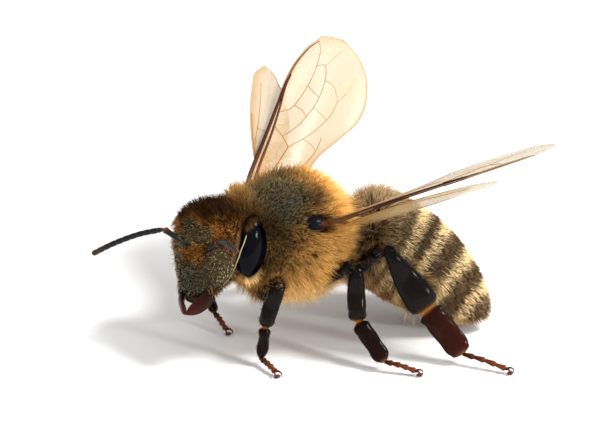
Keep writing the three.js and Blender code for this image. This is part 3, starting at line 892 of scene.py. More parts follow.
def wing_veins(name, plan):
    """The skin of every vein of one wing, and its colours."""
    shells, colours = [], []
    for thick, thin, dark, way in plan["veins"]:
        spots = smooth_way(way, VEIN_RINGS * len(way))
        grid = tube(on_wing(name, spots[:, 0], spots[:, 1]), thick, thin)
        shells.append(skinned(grid))
        shade = dark * np.ones(len(spots)) - 0.25 * capped(0.25 - spots[:, 0]) * 3
        colours.append(row_colours(grid, mixture(VEIN_AMBER, VEIN_DARK, shade)))
    return joined(shells), np.concatenate(colours)


def membrane_look(start, place):
    """Clear as oiled paper: most of what is behind shows through, and lights glint on it."""
    amber = start.node("ShaderNodeSeparateColor", {}, {0: start.tinted()})
    hairs = start.cells(place, 11)
    clouds = start.speckle(place, 0.8)
    tinted = amber.between((*MEMBRANE_CLEAR, 1), (*MEMBRANE_AMBER, 1))
    return {
        "Base Color": tinted.shaded(clouds * 0.3 + 0.85),
        "Roughness": clouds * 0.12 + 0.2,
        "Alpha": amber * 0.3 + clouds * 0.26 + 0.42,
        "Specular IOR Level": 0.5,
        "Normal": start.raised(clouds * 0.5 + hairs * 0.1, 0.03),
    }


def vein_look(start, place):
    """Shell drawn out thin, with a fine grain."""
    grain = start.speckle(place, 6)
    return {
        "Base Color": start.tinted().shaded(grain * 0.8 + 0.6),
        "Roughness": grain * 0.2 + 0.3,
        "Specular IOR Level": 0.15,
        "Normal": start.raised(grain, 0.01),
    }


clear_membrane = finish_of("wing_membrane", membrane_look)
vein_shell = finish_of("wing_vein", vein_look)
for name in WINGS:
    plan = plan_of(name)
    grid, amber = membrane(name, plan)
    bee_piece(f"{name}_sheet", skinned(grid), amber.reshape(-1, 1), clear_membrane, "wing", [name])
    bee_piece(f"{name}_veins", *wing_veins(name, plan), vein_shell, "wing")

# === Legs ===========================================================================================
# Three pairs, each a thigh, a shin, a long heel joint and a row of four small toe joints of dark
# red-brown shell, amber at the joints. The hind shin is a broad smooth basket, its heel a flat brush.
LEG_FACE = np.array([0.86, -0.35, 0.36])
LEGS = {
    # hip, knee, end of the shin, end of the heel, toe
    "front_left": [
        (0.6, -1.3, 2.15), (2.03, -1.15, 3.26), (1.83, -1.72, 1.47), (1.98, -1.97, 0.3), (3.02, -1.87, 0.2)],
    "middle_left": [
        (1.2, 0.6, 2.45), (2.75, 1.65, 3.73), (3.25, 1.45, 1.64), (4.49, 1.96, 0.42), (5.28, 2.84, 0.2)],
    "hind_left": [
        (1.3, 2.0, 2.5), (3.08, 2.69, 4.43), (4.05, 3.97, 1.95), (5.26, 4.85, 0.46), (6.6, 5.96, 0.2)],
    "front_right": [
        (-0.6, -1.3, 2.15), (-2.15, -1.6, 3.1), (-2.3, -2.2, 1.5), (-1.75, -2.15, 0.62), (-1.05, -2, 0.2)],
    "middle_right": [
        (-1.2, 0.5, 2.45), (-2.95, 1.2, 3.7), (-3.6, 0.9, 1.65), (-4.75, 1.35, 0.42), (-5.5, 2.2, 0.2)],
    "hind_right": [
        (-1.3, 1.9, 2.5), (-2.9, 2.9, 4.3), (-4.0, 4.1, 1.9), (-5.0, 5.2, 0.46), (-5.9, 6.5, 0.2)],
}
THIGH_WIDTH = [(0, 0.14), (0.1, 0.24), (0.4, 0.29), (0.8, 0.26), (0.95, 0.22), (1, 0.08)]
SHIN_WIDTH = {
    "front": [(0, 0.1), (0.03, 0.19), (0.12, 0.25), (0.45, 0.31), (0.75, 0.3), (0.94, 0.23), (1, 0.1)],
    "middle": [(0, 0.1), (0.03, 0.19), (0.15, 0.26), (0.5, 0.34), (0.8, 0.33), (0.96, 0.25), (1, 0.1)],
    "hind": [
        (0, 0.08), (0.04, 0.2), (0.15, 0.27), (0.4, 0.43), (0.68, 0.57), (0.86, 0.6), (0.95, 0.5),
        (1, 0.25)],
}
SHIN_DEPTH = [(0, 0.06), (0.05, 0.17), (0.5, 0.19), (0.95, 0.17), (1, 0.06)]
HEEL_WIDTH = {
    "front": [(0, 0.08), (0.06, 0.18), (0.3, 0.19), (0.9, 0.15), (1, 0.07)],
    "middle": [(0, 0.08), (0.06, 0.25), (0.25, 0.32), (0.6, 0.31), (0.92, 0.25), (1, 0.1)],
    "hind": [(0, 0.1), (0.04, 0.36), (0.2, 0.46), (0.6, 0.47), (0.9, 0.41), (0.97, 0.3), (1, 0.1)],
}
HEEL_DEPTH = [(0, 0.05), (0.06, 0.14), (0.6, 0.13), (0.95, 0.11), (1, 0.05)]
COXA_RISE = {"front": 0.9, "middle": 0.5, "hind": 1.3}
COXA_WIDTH = [(0, 0.2), (0.1, 0.34), (0.5, 0.36), (0.85, 0.27), (1, 0.1)]
TOE_JOINTS = 4
TOE_RADIUS, TOE_FLATNESS = 0.125, 0.9
LEG_BLACK = np.array([0.0026, 0.0018, 0.0014])
LEG_PURPLE = np.array([0.007, 0.0036, 0.0028])
LEG_RED = np.array([0.034, 0.0055, 0.0014])
LEG_AMBER = np.array([0.42, 0.17, 0.035])
TOE_RED = np.array([0.17, 0.036, 0.008])


def toe_radius(t):
    """Four flared joints in a row, each widest just before its end."""
    joint = (t * TOE_JOINTS) % 1
    flare = 0.62 + 0.5 * joint**1.3 - 0.75 * capped(joint - 0.84) * 3
    return TOE_RADIUS * flare * np.clip((1.03 - t) * 14, 0.1, 1)


def amber_ends(t, start, end):
    """The soft skin that shows at a joint: a share of amber at a limb's start and at its end."""
    return start * np.exp(-((t / 0.035) ** 2)) + end * np.exp(-(((1 - t) / 0.04) ** 2))


def leg_face(name):
    """The way that the broad side of a leg's limbs looks."""
    return sided(LEG_FACE, 1 if name.endswith("left") else -1)


def leg_grids(name, places):
    """The limbs of one leg from its root to its toe as grids, each with its rings' colours."""
    pair = name.split("_")[0]
    facing = leg_face(name)
    hip, knee, shin_end, heel_end, toe = (np.array(place) for place in places)
    bow = unit(np.cross(shin_end - knee, facing)) * 0.05
    heel_red = LEG_RED * (1 if pair == "hind" else 0.3)
    root = hip * [0.75, 0.85, 1] + UP * COXA_RISE[pair]
    shin_middle, heel_middle = (knee + shin_end) / 2 + bow, (shin_end + heel_end) / 2 - bow * 0.4
    limbs = [
        # path, widths, depths, colours at its start and end, amber at its start and end
        (bent(root, (root + hip) / 2, hip * 0.97 + knee * 0.03), COXA_WIDTH, COXA_WIDTH,
         LEG_BLACK, LEG_BLACK, 0, 0),
        (bent(hip, (hip + knee) / 2 + UP * 0.1, knee), THIGH_WIDTH, SHIN_DEPTH,
         LEG_BLACK, LEG_BLACK, 0, 0.1),
        (bent(knee, shin_middle, shin_end), SHIN_WIDTH[pair], SHIN_DEPTH, LEG_BLACK, LEG_PURPLE, 0, 0.95),
        (bent(shin_end, heel_middle, heel_end), HEEL_WIDTH[pair], HEEL_DEPTH,
         heel_red * 0.4, heel_red, 0.7, 0.5),
    ]
    made = []
    for path, widths, depths, near, far, amber_start, amber_end in limbs:
        grid, t = blade(path, widths, depths, facing, 40, 60, 0.85)
        made.append((grid, mixture(mixture(near, far, t), LEG_AMBER, amber_ends(t, amber_start, amber_end))))
    t = np.linspace(0, 1, TOE_JOINTS * JOINT_RINGS + 1)
    radius = toe_radius(t)[:, None]
    axis = bent(heel_end, (heel_end + toe) / 2 + UP * 0.04, toe)(t)
    made.append((sleeve(axis, UP, radius, radius * TOE_FLATNESS, 24), mixture(LEG_RED, TOE_RED, t * 1.2)))
    return made


leg_shell = shell_finish("leg_shell", roughness=0.19, grain=8, depth=0.004, gloss=0.1)
leg_limbs = {name: leg_grids(name, places) for name, places in LEGS.items()}
for name, limbs in leg_limbs.items():
    colours = np.concatenate([row_colours(grid, colours) for grid, colours in limbs])
    bee_piece(
        f"leg_{name}", joined([skinned(grid) for grid, _ in limbs]), colours, leg_shell, "leg",
        [f"{limb}_{name}" for limb in ("femur", "tibia", "basitarsus", "tarsus")])

# === Claws and foot pads ============================================================================
# Each foot ends in a pair of hooked claws with a soft pad between them, all of them on the floor.
CLAW_WAY = [(0.0, 0.03, 0.0), (0.12, 0.09, 0.03), (0.22, 0.14, -0.03), (0.25, 0.15, -0.16)]
CLAW_RADIUS, CLAW_RINGS = (0.05, 0.012), 22
PAD_HALF_SIZES = np.array([0.1, 0.13, 0.055])
CLAW_DARK = np.array([0.07, 0.018, 0.007])
PAD_BROWN = np.array([0.13, 0.045, 0.018])
shells, colours = [], []
for places in LEGS.values():
    toe, ahead = np.array(places[4]), unit((np.array(places[4]) - places[3]) * [1, 1, 0])
    aside = np.cross(UP, ahead)
    for side in (1, -1):
        way = [toe + ahead * reach + aside * side * out + UP * up for reach, out, up in CLAW_WAY]
        grid = tube(smooth_way(way, CLAW_RINGS), *CLAW_RADIUS, 12)
        shells.append(skinned(grid))
        colours.append(CLAW_DARK * np.ones((grid.size // 3, 1)))
    grid = toe + ahead * 0.16 - UP * 0.13 + dome(PAD_HALF_SIZES, 24, 16)
    shells.append(skinned(grid))
    colours.append(PAD_BROWN * np.ones((grid.size // 3, 1)))
bee_piece("claws", joined(shells), np.concatenate(colours), gloss_shell, "foot")

# === Coat: how a hair is made and where it stands ===================================================
# The coat is branched hair, longest on the thorax. Each lock is a thin three-sided spine with its root
# in the skin; it leans and droops with the lie, and takes its colour from the place it grows at, with
# painted shade towards its root and a painted glow towards its tip.
PATCH = 0.0015  # half of a hair's patch on the unwrapped map
SUNK = 0.04  # the share of a hair that is under the skin
TAPER = 0.55  # the share of its thickness that it would lose over its length, before it ends in a point


def scatter(grid, count, density, seed):
    """Random roots on a grid of rings, closer together where its places have more density."""
    rng = np.random.default_rng(seed)
    sides = grid.shape[1]
    wide = np.concatenate([grid, grid[:, :1]], axis=1)
    corners = [wide[:-1, :-1], wide[:-1, 1:], wide[1:, 1:], wide[1:, :-1]]
    outward = np.cross(corners[2] - corners[0], corners[3] - corners[1])
    from_axis = corners[0] - grid.mean(axis=1, keepdims=True)[:-1]
    outward *= np.sign(np.sum(outward * from_axis, axis=-1))[..., None]
    weight = np.linalg.norm(outward, axis=-1) * density[:-1]
    chosen = rng.choice(weight.size, count, p=(weight / weight.sum()).ravel())
    row, column = np.divmod(chosen, sides)
    u, v = rng.random((2, count))
    a, b, c, d = (corner.reshape(-1, 3)[chosen] for corner in corners)
    root = (a * (1 - u)[:, None] + b * u[:, None]) * (1 - v)[:, None] + (
        d * (1 - u)[:, None] + c * u[:, None]) * v[:, None]
    patch = np.stack([(column + u) / sides, (row + v) / (grid.shape[0] - 1)], -1)
    return {
        "root": root, "out": unit(outward.reshape(-1, 3)[chosen]), "patch": patch * (1 - 2 * PATCH) + PATCH,
        "luck": rng.random(count), "stray": rng.normal(size=(count, 3)), "turn": (column + u) / sides,
        "rows": row,
    }


def in_egg(places, half_sizes, room):
    """Whether places from its middle lie in an egg, stretched where room is over 1."""
    return np.sum((places / half_sizes) ** 2, axis=-1) < room


def in_eyes(points, room):
    """Whether places lie inside either eye's dome."""
    inside = np.zeros(points.shape[:-1], bool)
    local = in_head(points)
    for side in (1, -1):
        inside |= in_egg(leant(local - sided(EYE_MIDDLE, side), -side * EYE_CANT), EYE_HALF_SIZES, room)
    return inside


def from_eyes(points):
    """How far places are from the middle of the nearer eye."""
    middles = [on_head(sided(EYE_MIDDLE, side)) for side in (1, -1)]
    return np.min([np.linalg.norm(points - middle, axis=-1) for middle in middles], axis=0)


def in_head_shell(points):
    """Whether places lie inside the head, taken as an egg just within its shell."""
    return in_egg(in_head(points) - [0, -0.55, 0.1], [1.6, 0.8, 1.75], 0.95)


def near_line(points, line, room):
    """Whether places lie within some room of a line through a few places."""
    close = np.zeros(len(points), bool)
    for start, end in zip(line, line[1:]):
        way = end - start
        along = capped((points - start) @ way / (way @ way))
        close |= np.linalg.norm(points - start - along[:, None] * way, axis=-1) < room
    return close


def gathered(hairs, aim, length, drawn_in, every):
    """Draws hairs together into locks: each leans towards the tip of the nearest leading hair."""
    tips = hairs["root"] + unit(aim) * np.broadcast_to(length, len(aim))[:, None]
    leaders = np.arange(0, len(aim), every)
    near = kdtree.KDTree(len(leaders))
    for leader in leaders:
        near.insert(Vector(hairs["root"][leader]), int(leader))
    near.balance()
    nearest = np.array([near.find(Vector(root))[1] for root in hairs["root"]])
    way = tips + (tips[nearest] - tips) * np.broadcast_to(drawn_in, len(aim))[:, None] - hairs["root"]
    return unit(way), np.linalg.norm(way, axis=-1)


def lucky(colour, luck, spread):
    """Each hair a little lighter or darker than the colour of its place."""
    return colour * (1 - spread + 2 * spread * luck)[..., None]


def coat_look(start, place):
    """Hair: soft, lighter along some locks, with a faint silky gloss."""
    locks = start.speckle(place, 5, 2.0)
    return {
        "Base Color": start.tinted().shaded(locks * 0.7 + 0.65),
        "Roughness": locks * 0.2 + 0.42,
        "Specular IOR Level": 0.05,
        "Normal": start.raised(locks, 0.01),
    }


coat = finish_of("coat_hair", coat_look)


def hair_piece(name, hairs, aim, droop, length, thick, colour, root_shade_tip_glow, bends=1, keep=slice(None)):
    """One piece of coat: every hair leans along its aim, then droops, and ends in a point. Its colour
    runs from a painted shade at the root to a painted glow at the tip.
    """
    every = len(hairs["root"])
    aim, droop, colour = (np.broadcast_to(value, (every, 3))[keep] for value in (unit(aim), droop, colour))
    length, thick = (np.broadcast_to(value, every)[keep, None] for value in (length, thick))
    root, patch = hairs["root"][keep], hairs["patch"][keep]
    across = unit(np.cross(aim, [0.37, 0.61, 0.7]))
    facing = np.cross(aim, across)
    # painted shade and glow: each hair is darkened at its root for the shade deep in the coat, and lightened
    # at its tip for light shining through it
    dark, light = (colour * shade for shade in root_shade_tip_glow)
    rows, tints, patches = [], [], []
    for step in range(bends + 1):
        s = step / (bends + 1)
        middle = root + (aim * (s - SUNK) + droop * s**2) * length
        for corner in range(3):
            angle = corner / 3 * 2 * math.pi
            edge = (across * math.cos(angle) + facing * math.sin(angle)) * thick
            rows.append(middle + edge * (1 - TAPER * s) / 2)
            tints.append(dark * (1 - s) + light * s)
            patches.append(patch + np.array([math.cos(angle), 2 * s - 1]) * PATCH * 0.9)
    rows.append(root + (aim + droop) * length)
    tints.append(light)
    patches.append(patch + np.array([0, PATCH * 0.9]))
    size, last = len(rows), 3 * bends
    first = np.arange(len(root))[:, None, None] * size
    walls = np.array([
        [3 * step + a, 3 * step + b, 3 * step + 3 + b, 3 * step + 3 + a]
        for step in range(bends) for a, b in ((0, 1), (1, 2), (2, 0))])
    ends = np.array([
        [last, last + 1, size - 1], [last + 1, last + 2, size - 1], [last + 2, last, size - 1], [2, 1, 0]])
    faces = [(first + walls[None]).reshape(-1, 4), (first + ends[None]).reshape(-1, 3)]
    points, tints, uv = (
        np.stack(each, axis=1).reshape(-1, each[0].shape[1]) for each in (rows, tints, patches))
    made = mesh_piece(name, points, faces, tints)
    corners = np.concatenate([f.ravel() for f in faces])
    layer = made.data.uv_layers.new(name="OFBake")
    layer.data.foreach_set("uv", uv[corners].astype(np.float32).ravel())
    belongs(made, coat)


# === Coat of the thorax =============================================================================
# Long golden hair stands all round, with single longer hairs above it; on the back it is short and thin
# over the grey-green shell, with a darker red-brown border towards the wings.
THORAX_HAIRS, THORAX_PIECES, THORAX_SEED = 34000, 3, 11
# root and tip factors: painted shade at the hair roots and painted glow at their tips
THORAX_THICK, THORAX_ROOT_SHADE_TIP_GLOW = 0.027, (0.16, 1.6)
GUARD_HAIRS, GUARD_SEED = 7000, 31
# root and tip factors: painted shade at the hair roots and painted glow at their tips
GUARD_THICK, GUARD_ROOT_SHADE_TIP_GLOW = 0.015, (0.5, 1.6)
EYE_ROOM = 1.3
COAT_ROOM, HINGE_ROOM = 0.34, 0.36


def clear_of_neighbours(hairs, way, tip_room):
    """Whether hairs keep out of the eyes, the head and the hinges of the wings."""
    tips = hairs["root"] + way
    middles = (tips + hairs["root"]) / 2
    clear = ~(in_eyes(tips, EYE_ROOM) | in_head_shell(tips) | in_eyes(middles, EYE_ROOM))
    for side in (1, -1):
        scale_middle = THORAX_MIDDLE + turned(sided(SCALE_PLACE, side), THORAX_YAW)
        line = (scale_middle + [0.05 * side, -0.05, 0.05], np.array(WING_ROOTS[side]))
        clear &= ~(near_line(tips, line, tip_room) | near_line(middles, line, HINGE_ROOM))
    return clear


hairs = scatter(thorax_grid, THORAX_HAIRS, 1 - 0.35 * bare_back(thorax_grid), THORAX_SEED)
bare = bare_back(hairs["root"])
_, back, height = parts(thorax_places(hairs["root"]))
eye_distance = from_eyes(hairs["root"])
length = (0.5 + 0.34 * hairs["luck"]) * (1 - 0.74 * bare) * np.clip(1.05 - 0.1 * height, 0.7, 1.15)
beside_eye = capped(1.5 - np.abs(height - 0.2) * 1.2)
length *= 1 - beside_eye * np.clip(1 - (eye_distance - 1.0) / 1.3, 0, 0.8)
backward = turned(np.array([0.0, 1.0, 0.0]), THORAX_YAW)
aim = hairs["out"] + backward * 0.25 + hairs["stray"] * 0.2
length *= 1 + 0.3 * capped(height - 0.9) * (1 - bare) ** 2
collar = capped((-0.9 - back) / 0.5) * capped((height - 0.3) / 0.5)
length *= 1 + 0.55 * collar
aim += UP * 0.7 * collar[:, None]
aim, length = gathered(hairs, aim, length, 0.5 * (1 - 0.4 * bare), 10)
droop = backward * 0.12 - UP * 0.1 + hairs["stray"][:, ::-1] * 0.12
clear = clear_of_neighbours(hairs, (aim + droop) * length[:, None], COAT_ROOM)
colour = lucky(thorax_coat_colour(hairs["root"]), hairs["luck"][::-1], 0.45)
# painted shade: the coat close to the head is darkened for the shade in the gap behind it
colour = colour * np.clip(0.2 + (eye_distance - 0.85) / 1.2, 0.2, 1)[:, None]
for piece in range(THORAX_PIECES):
    hair_piece(
        f"thorax_coat_{piece + 1}", hairs, aim, droop, length, THORAX_THICK - 0.004 * bare, colour,
        THORAX_ROOT_SHADE_TIP_GLOW, 2, clear & (np.arange(THORAX_HAIRS) % THORAX_PIECES == piece))

hairs = scatter(thorax_grid, GUARD_HAIRS, (1 - bare_back(thorax_grid)) ** 2 + 0.02, GUARD_SEED)
_, back, height = parts(thorax_places(hairs["root"]))
length = (0.62 + 0.45 * hairs["luck"]) * np.clip((from_eyes(hairs["root"]) - 0.9) / 1.2, 0.25, 1)
length *= 1 + 0.3 * capped(back - 1.2) * capped(height + 0.5)
aim = unit(hairs["out"] + backward * 0.2 + hairs["stray"] * 0.28)
droop = backward * 0.1 - UP * 0.12 + hairs["stray"][:, ::-1] * 0.14
clear = clear_of_neighbours(hairs, aim * length[:, None], HINGE_ROOM)
colour = lucky(thorax_coat_colour(hairs["root"]), hairs["luck"][::-1], 0.3)
hair_piece("thorax_guard_hairs", hairs, aim, droop, length, GUARD_THICK, colour, GUARD_ROOT_SHADE_TIP_GLOW, 2, clear)

# === Coat of the abdomen ============================================================================
# The first plates carry long grey-brown hair, the rest short hair lying flat towards the tip; a band of
# pale felt covers the base of each plate from the third on, and the belly is orange-brown.
ABDOMEN_HAIRS, ABDOMEN_PIECES, ABDOMEN_SEED = 20000, 2, 12
# root and tip factors: painted shade at the hair roots and painted glow at their tips
ABDOMEN_THICK, ABDOMEN_ROOT_SHADE_TIP_GLOW = 0.025, (0.5, 1.65)

row_t = np.tile(abdomen_t[:, None], (1, abdomen_grid.shape[1]))
density = 1 + 1.6 * capped(0.35 - row_t) + 0.9 * felt_band(row_t)
hairs = scatter(abdomen_grid, ABDOMEN_HAIRS, density, ABDOMEN_SEED)
t = abdomen_t[hairs["rows"]]
rearward = unit(np.gradient(ABDOMEN_AXIS(abdomen_t), axis=0))[hairs["rows"]]
belly = capped(-np.sin(hairs["turn"] * 2 * math.pi))
length = (0.16 + 0.08 * hairs["luck"]) * (1 + 3.0 * capped(1.15 - t * 4.6) + 0.3 * belly)
lean = 0.42 + 1.1 * capped(1.1 - t * 4.5)
aim = hairs["out"] * lean[:, None] + rearward * 0.9 + hairs["stray"] * 0.16
place_colour = abdomen_coat_colour(t + 0.012 * hairs["stray"][:, 0], hairs["turn"])
colour = lucky(place_colour, hairs["luck"][::-1], 0.5)
for piece in range(ABDOMEN_PIECES):
    hair_piece(
        f"abdomen_coat_{piece + 1}", hairs, aim, -UP * 0.05, length, ABDOMEN_THICK, colour, ABDOMEN_ROOT_SHADE_TIP_GLOW,
        keep=np.arange(ABDOMEN_HAIRS) % ABDOMEN_PIECES == piece)

# === Coat of the head ===============================================================================
# Short felt covers the face, grey over the shield, speckled yellow-grey on the cheeks, with orange tufts
# at the feeler sockets; long black-brown hair stands on the crown.
FACE_HAIRS, FACE_SEED = 12000, 13
# root and tip factors: painted shade at the hair roots and painted glow at their tips
FACE_THICK, FACE_ROOT_SHADE_TIP_GLOW = 0.021, (0.12, 2.1)
FACE_SPECKLE = 24
BALD_ROOM, CROWN_ROOM = 1.4, 1.15
FACE_SCAPE_ROOM, CROWN_SCAPE_ROOM = 0.15, 0.2
CROWN_HAIRS, CROWN_SEED = 11000, 14
# root and tip factors: painted shade at the hair roots and painted glow at their tips
CROWN_THICK, CROWN_ROOT_SHADE_TIP_GLOW = 0.022, (0.2, 1.6)


def short_felt(zone):
    """1 where the hair of the face is cropped short."""
    return np.maximum.reduce([zone["oval"], zone["shield"], zone["cheek"]])


downward, forward = head_way(0, 0, -1), head_way(0, 1, 0)
side, ahead, up = parts(in_head(head_grid))
zone = face_zones(head_grid)
bald = in_eyes(head_grid, BALD_ROOM)
density = np.where(bald, 0, 1.0) * (1 - 0.55 * short_felt(zone)) * (1 - 0.9 * zone["jowl"])
# thinner hair far back on the head and in the painted shadow below the feeler sockets
density = density * np.where(ahead < -1.0, 0.3, 1) * (1 - 0.85 * zone["painted_scape_shadow"])
hairs = scatter(head_grid, FACE_HAIRS, density, FACE_SEED)
short = short_felt(face_zones(hairs["root"]))
length = (0.2 + 0.12 * hairs["luck"]) * (1 - 0.62 * short)
aim = hairs["out"] * (0.7 + 0.5 * short)[:, None] + downward * 0.4 + hairs["stray"] * 0.35
tips = hairs["root"] + unit(aim) * length[:, None]
clear = ~np.logical_or(*(near_line(tips, line, FACE_SCAPE_ROOM) for line in scape_lines))
colour = lucky(head_coat_colour(hairs["root"]), hairs["luck"][::-1] ** 1.5, 0.9)
colour = colour * (0.14 + 1.7 * mottle(hairs["root"], FACE_SPECKLE) ** 1.5)[:, None]
hair_piece(
    "face_coat", hairs, aim, downward * 0.1, length, FACE_THICK + 0.004 * short, colour, FACE_ROOT_SHADE_TIP_GLOW,
    keep=clear)

band = swell(up - 1.0 + 0.35 * np.clip(side, 0, 2), 0 * up, 0.2, 1) * (ahead > -0.8)
rear = capped((-0.8 - ahead) / 0.2) * capped((up + 1.5) / 0.3)
density = np.where(bald, 0, zone["crown"] * 1.5 + rear * 1.1 + band * 0.9 + zone["socket"] * 0.7 + 0.02)
beard = rear * capped(-up / 0.6)
density = (density + 1.6 * beard) * (1 - 0.95 * zone["oval"]) * (1 - zone["jowl"])
hairs = scatter(head_grid, CROWN_HAIRS, density, CROWN_SEED)
zone = face_zones(hairs["root"])
up = in_head(hairs["root"])[:, 2]
length = (0.22 + 0.2 * hairs["luck"]) * (1 - 0.35 * zone["socket"]) * (1 + 0.35 * zone["crown"])
length *= 1 + zone["rear"] * (0.9 * capped(-up) + 0.9 * capped(up - 0.5))
aim = hairs["out"] + forward * (0.3 - 0.7 * zone["rear"])[:, None] + hairs["stray"] * 0.2
aim, length = gathered(hairs, aim, length, 0.2, 7)
tips = hairs["root"] + aim * length[:, None]
middles = (tips + hairs["root"]) / 2
clear = ~(in_eyes(tips, CROWN_ROOM) | in_eyes(middles, CROWN_ROOM))
for line in scape_lines:
    clear &= ~(near_line(tips, line, CROWN_SCAPE_ROOM) | near_line(middles, line, CROWN_SCAPE_ROOM))
colour = lucky(head_coat_colour(hairs["root"]), hairs["luck"][::-1], 0.6)
hair_piece("crown_coat", hairs, aim, -downward * 0.05, length, CROWN_THICK, colour, CROWN_ROOT_SHADE_TIP_GLOW, 2, clear)

# === Fringe and brow of the eyes ====================================================================
# A rank of pale gold hairs stands round the rear and lower rim of each eye, pointing away from it, and
# a brow of dark ones hangs over its top.
RIM_SEED = 15
RIM_HAIRS, RIM_TURN = 420, (math.radians(-105), math.radians(75))
# root and tip factors: painted shade at the hair roots and painted glow at their tips
RIM_THICK, RIM_ROOT_SHADE_TIP_GLOW = 0.018, (0.3, 1.8)
BROW_HAIRS, BROW_TURN = 300, (math.radians(48), math.radians(140))
# root and tip factors: painted shade at the hair roots and painted glow at their tips
BROW_THICK, BROW_ROOT_SHADE_TIP_GLOW = 0.02, (0.3, 1.4)


def round_eyes(rng, count, turns, inset, depths, spread, lean, stray):
    """Hairs along a stretch of both eyes' rims: where they stand, their aims and their luck."""
    roots, aims, patches = [], [], []
    for side in (1, -1):
        turn = rng.uniform(*turns, count)
        away = np.stack([np.zeros(count), -np.cos(turn), np.sin(turn)], -1)
        depth = rng.random(count)
        place = [inset, 0, 0] + away * EYE_HALF_SIZES * (depths[0] + depths[1] * depth)[:, None]
        round_rim = (turn - turns[0]) / (turns[1] - turns[0])
        patches.append(np.stack([0.04 + 0.92 * round_rim, 0.5 + side * (0.05 + 0.4 * depth)], -1))
        roots.append(on_head((EYE_MIDDLE + place) * [side, 1, 1]))
        way = on_head(away * spread + np.array(lean) * [side, 1, 1]) - HEAD_MIDDLE
        aims.append(way + rng.normal(size=(count, 3)) * stray)
    hairs = {"root": np.concatenate(roots), "patch": np.concatenate(patches)}
    return hairs, np.concatenate(aims), rng.random(2 * count)


rng = np.random.default_rng(RIM_SEED)
hairs, aim, luck = round_eyes(rng, RIM_HAIRS, RIM_TURN, -0.1, (0.9, 0.1), 1, (0.35, 0, 0), 0.12)
colour = lucky(mixture(GOLD, TAN, 0.4), luck, 0.4)
hair_piece("eye_fringe", hairs, aim, 0 * UP, 0.3 + 0.2 * luck, RIM_THICK, colour, RIM_ROOT_SHADE_TIP_GLOW)

hairs, aim, luck = round_eyes(rng, BROW_HAIRS, BROW_TURN, 0.04, (0.97, 0.13), 0.1, (0.9, 0.25, -0.25), 0.2)
colour = lucky(mixture(UMBER, GOLD, 0.08), luck, 0.8)
hair_piece(
    "eye_brow", hairs, aim, head_way(0, 0, -0.5), 0.28 + 0.16 * luck, BROW_THICK, colour, BROW_ROOT_SHADE_TIP_GLOW, 2)

# === Hair of the legs ===============================================================================
# Thighs and shins carry sparse gold hair, the heels dense short brushes, and two long curved fringes
# edge the hind shins, the baskets that pollen is packed in.
LIMB_HAIRS = (500, 140, 70, 110, 50)
LIMB_HAIR_LENGTH = (0.4, 0.28, 0.14, 0.09, 0.07)
SHAGGY_HAIRS, SHAGGY_LIMBS = 1300, 2
FRINGE_HAIRS = 170
SHIN = 2
LIMB_SEED, FRINGE_SEED = 20, 60
# root and tip factors: painted shade at the hair roots; the tips keep their colour
LEG_THICK, LEG_ROOT_SHADE_TIP_GLOW = 0.011, (0.5, 1)
LEG_DROOP = 0.08
LEAST_HEIGHT = 0.03
rows = []


def grow(leg, limb, grid, hairs, ways, reach, tone, spread):
    """Hairs of one limb; ways are the shares of out, down the limb, its face and stray in their aim."""
    facing = leg_face(list(LEGS)[leg])
    down_limb = unit(grid[-1].mean(axis=0) - grid[0].mean(axis=0))
    out, down, face, stray = ways
    rows.append({
        "root": hairs["root"],
        "patch": (hairs["patch"] + [leg, limb]) / [len(LEGS), len(LIMB_HAIRS)],
        "aim": hairs["out"] * out + down_limb * down + facing * face + hairs["stray"] * stray,
        "length": reach[0] * (reach[1] + reach[2] * hairs["luck"]),
        "colour": lucky(tone, hairs["luck"], spread),
    })


for leg, (name, limbs) in enumerate(leg_limbs.items()):
    for limb, (grid, _) in enumerate(limbs):
        shaggy = name.startswith("front") and limb < SHAGGY_LIMBS
        count = SHAGGY_HAIRS if shaggy else LIMB_HAIRS[limb]
        hairs = scatter(grid, count, np.ones(grid.shape[:2]), LIMB_SEED + leg * 4 + limb)
        tone = mixture(ORANGE, GOLD, 0.4) if limb < SHIN else mixture(UMBER, ORANGE, 0.1)
        grow(leg, limb, grid, hairs, (0.7, 0.9, 0, 0.2), (LIMB_HAIR_LENGTH[limb], 0.6, 0.8), tone, 0.5)
    if name.startswith("hind"):
        grid = limbs[SHIN][0]
        turn = np.arange(grid.shape[1]) / grid.shape[1]
        edges = (np.abs(np.cos(turn * 2 * math.pi)) > 0.97) * np.ones((grid.shape[0], 1))
        hairs = scatter(grid, FRINGE_HAIRS, edges, FRINGE_SEED + leg)
        grow(leg, SHIN, grid, hairs, (1, 0.6, 0.4, 0.08), (1, 0.36, 0.3), mixture(GOLD, TAN, 0.4), 0.4)
hairs = {key: np.concatenate([row[key] for row in rows]) for key in rows[0]}
tips = hairs["root"] + unit(hairs["aim"]) * hairs["length"][:, None]
above = tips[:, 2] - LEG_DROOP * hairs["length"] > LEAST_HEIGHT
hair_piece(
    "leg_hair", hairs, hairs["aim"], -UP * LEG_DROOP, hairs["length"], LEG_THICK, hairs["colour"],
    LEG_ROOT_SHADE_TIP_GLOW, keep=above)

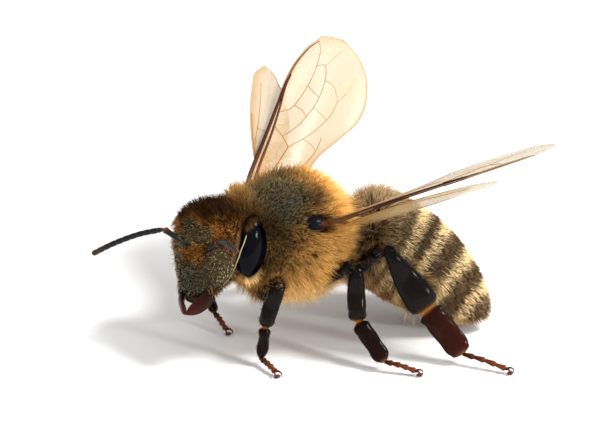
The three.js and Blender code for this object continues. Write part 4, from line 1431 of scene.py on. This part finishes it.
# === Floor, light and camera ========================================================================
# A pale even floor under a wide soft lamp from behind and above and a small one low on the left, in a
# bright white room.
FLOOR_HALF = 900.0
FLOOR_WHITES = (0.95, 0.95, 0.95, 1), (0.97, 0.97, 0.97, 1)
LAMPS = {
    # size, watts, direction
    "key_lamp": (0.05, 0.34, (0.32, 0.48, 0.82)),
    "glint_lamp": (0.022, 0.12, (0.785, 0.53, 0.35)),
}
LAMP_DISTANCE = 0.2
LIT_PLACE = Vector((0, 0, 0.004))
ROOM_LIGHT = 0.76
CAMERA_LENS, SENSOR_WIDTH, CLIP_START = 219, 36, 0.01
CAMERA_PLACE, CAMERA_AIM = [115.0, -55.21, 61.9], [0.04, 0.86, 4.96]


def paper_look(start, place):
    """Even matt white."""
    return {
        "Base Color": start.speckle(place, 0.05).between(*FLOOR_WHITES),
        "Roughness": 0.95,
        "Specular IOR Level": 0.1,
    }


def looking(thing, place, aim):
    """Puts a lamp or a camera at a place, turned to what it looks at."""
    thing.location = place
    thing.rotation_euler = (place - aim).to_track_quat("Z", "Y").to_euler()


floor_points = np.array([[-1, -1, 0], [1, -1, 0], [1, 1, 0], [-1, 1, 0]]) * FLOOR_HALF
floor = mesh_piece("floor", floor_points, [np.array([[0, 1, 2, 3]])])
floor.data.materials.append(finish_of("floor_paper", paper_look))

for name, (size, watts, direction) in LAMPS.items():
    lamp = bpy.data.lights.new(name, "AREA")
    lamp.shape = "DISK"
    lamp.size = size
    lamp.energy = watts
    looking(placed(name, lamp), LIT_PLACE + Vector(direction).normalized() * LAMP_DISTANCE, LIT_PLACE)

world = bpy.data.worlds.new("white_room")
world.use_nodes = True
room = world.node_tree.nodes["Background"].inputs
room["Color"].default_value = (1, 1, 1, 1)
room["Strength"].default_value = ROOM_LIGHT
bpy.context.scene.world = world
bpy.context.scene.view_settings.view_transform = "Standard"

camera = bpy.data.cameras.new("camera")
camera.lens = CAMERA_LENS
camera.sensor_width = SENSOR_WIDTH
camera.clip_start = CLIP_START
viewer = placed("camera", camera)
looking(viewer, *(Vector((np.array(place) + foot) * MM) for place in (CAMERA_PLACE, CAMERA_AIM)))
bpy.context.scene.camera = viewer
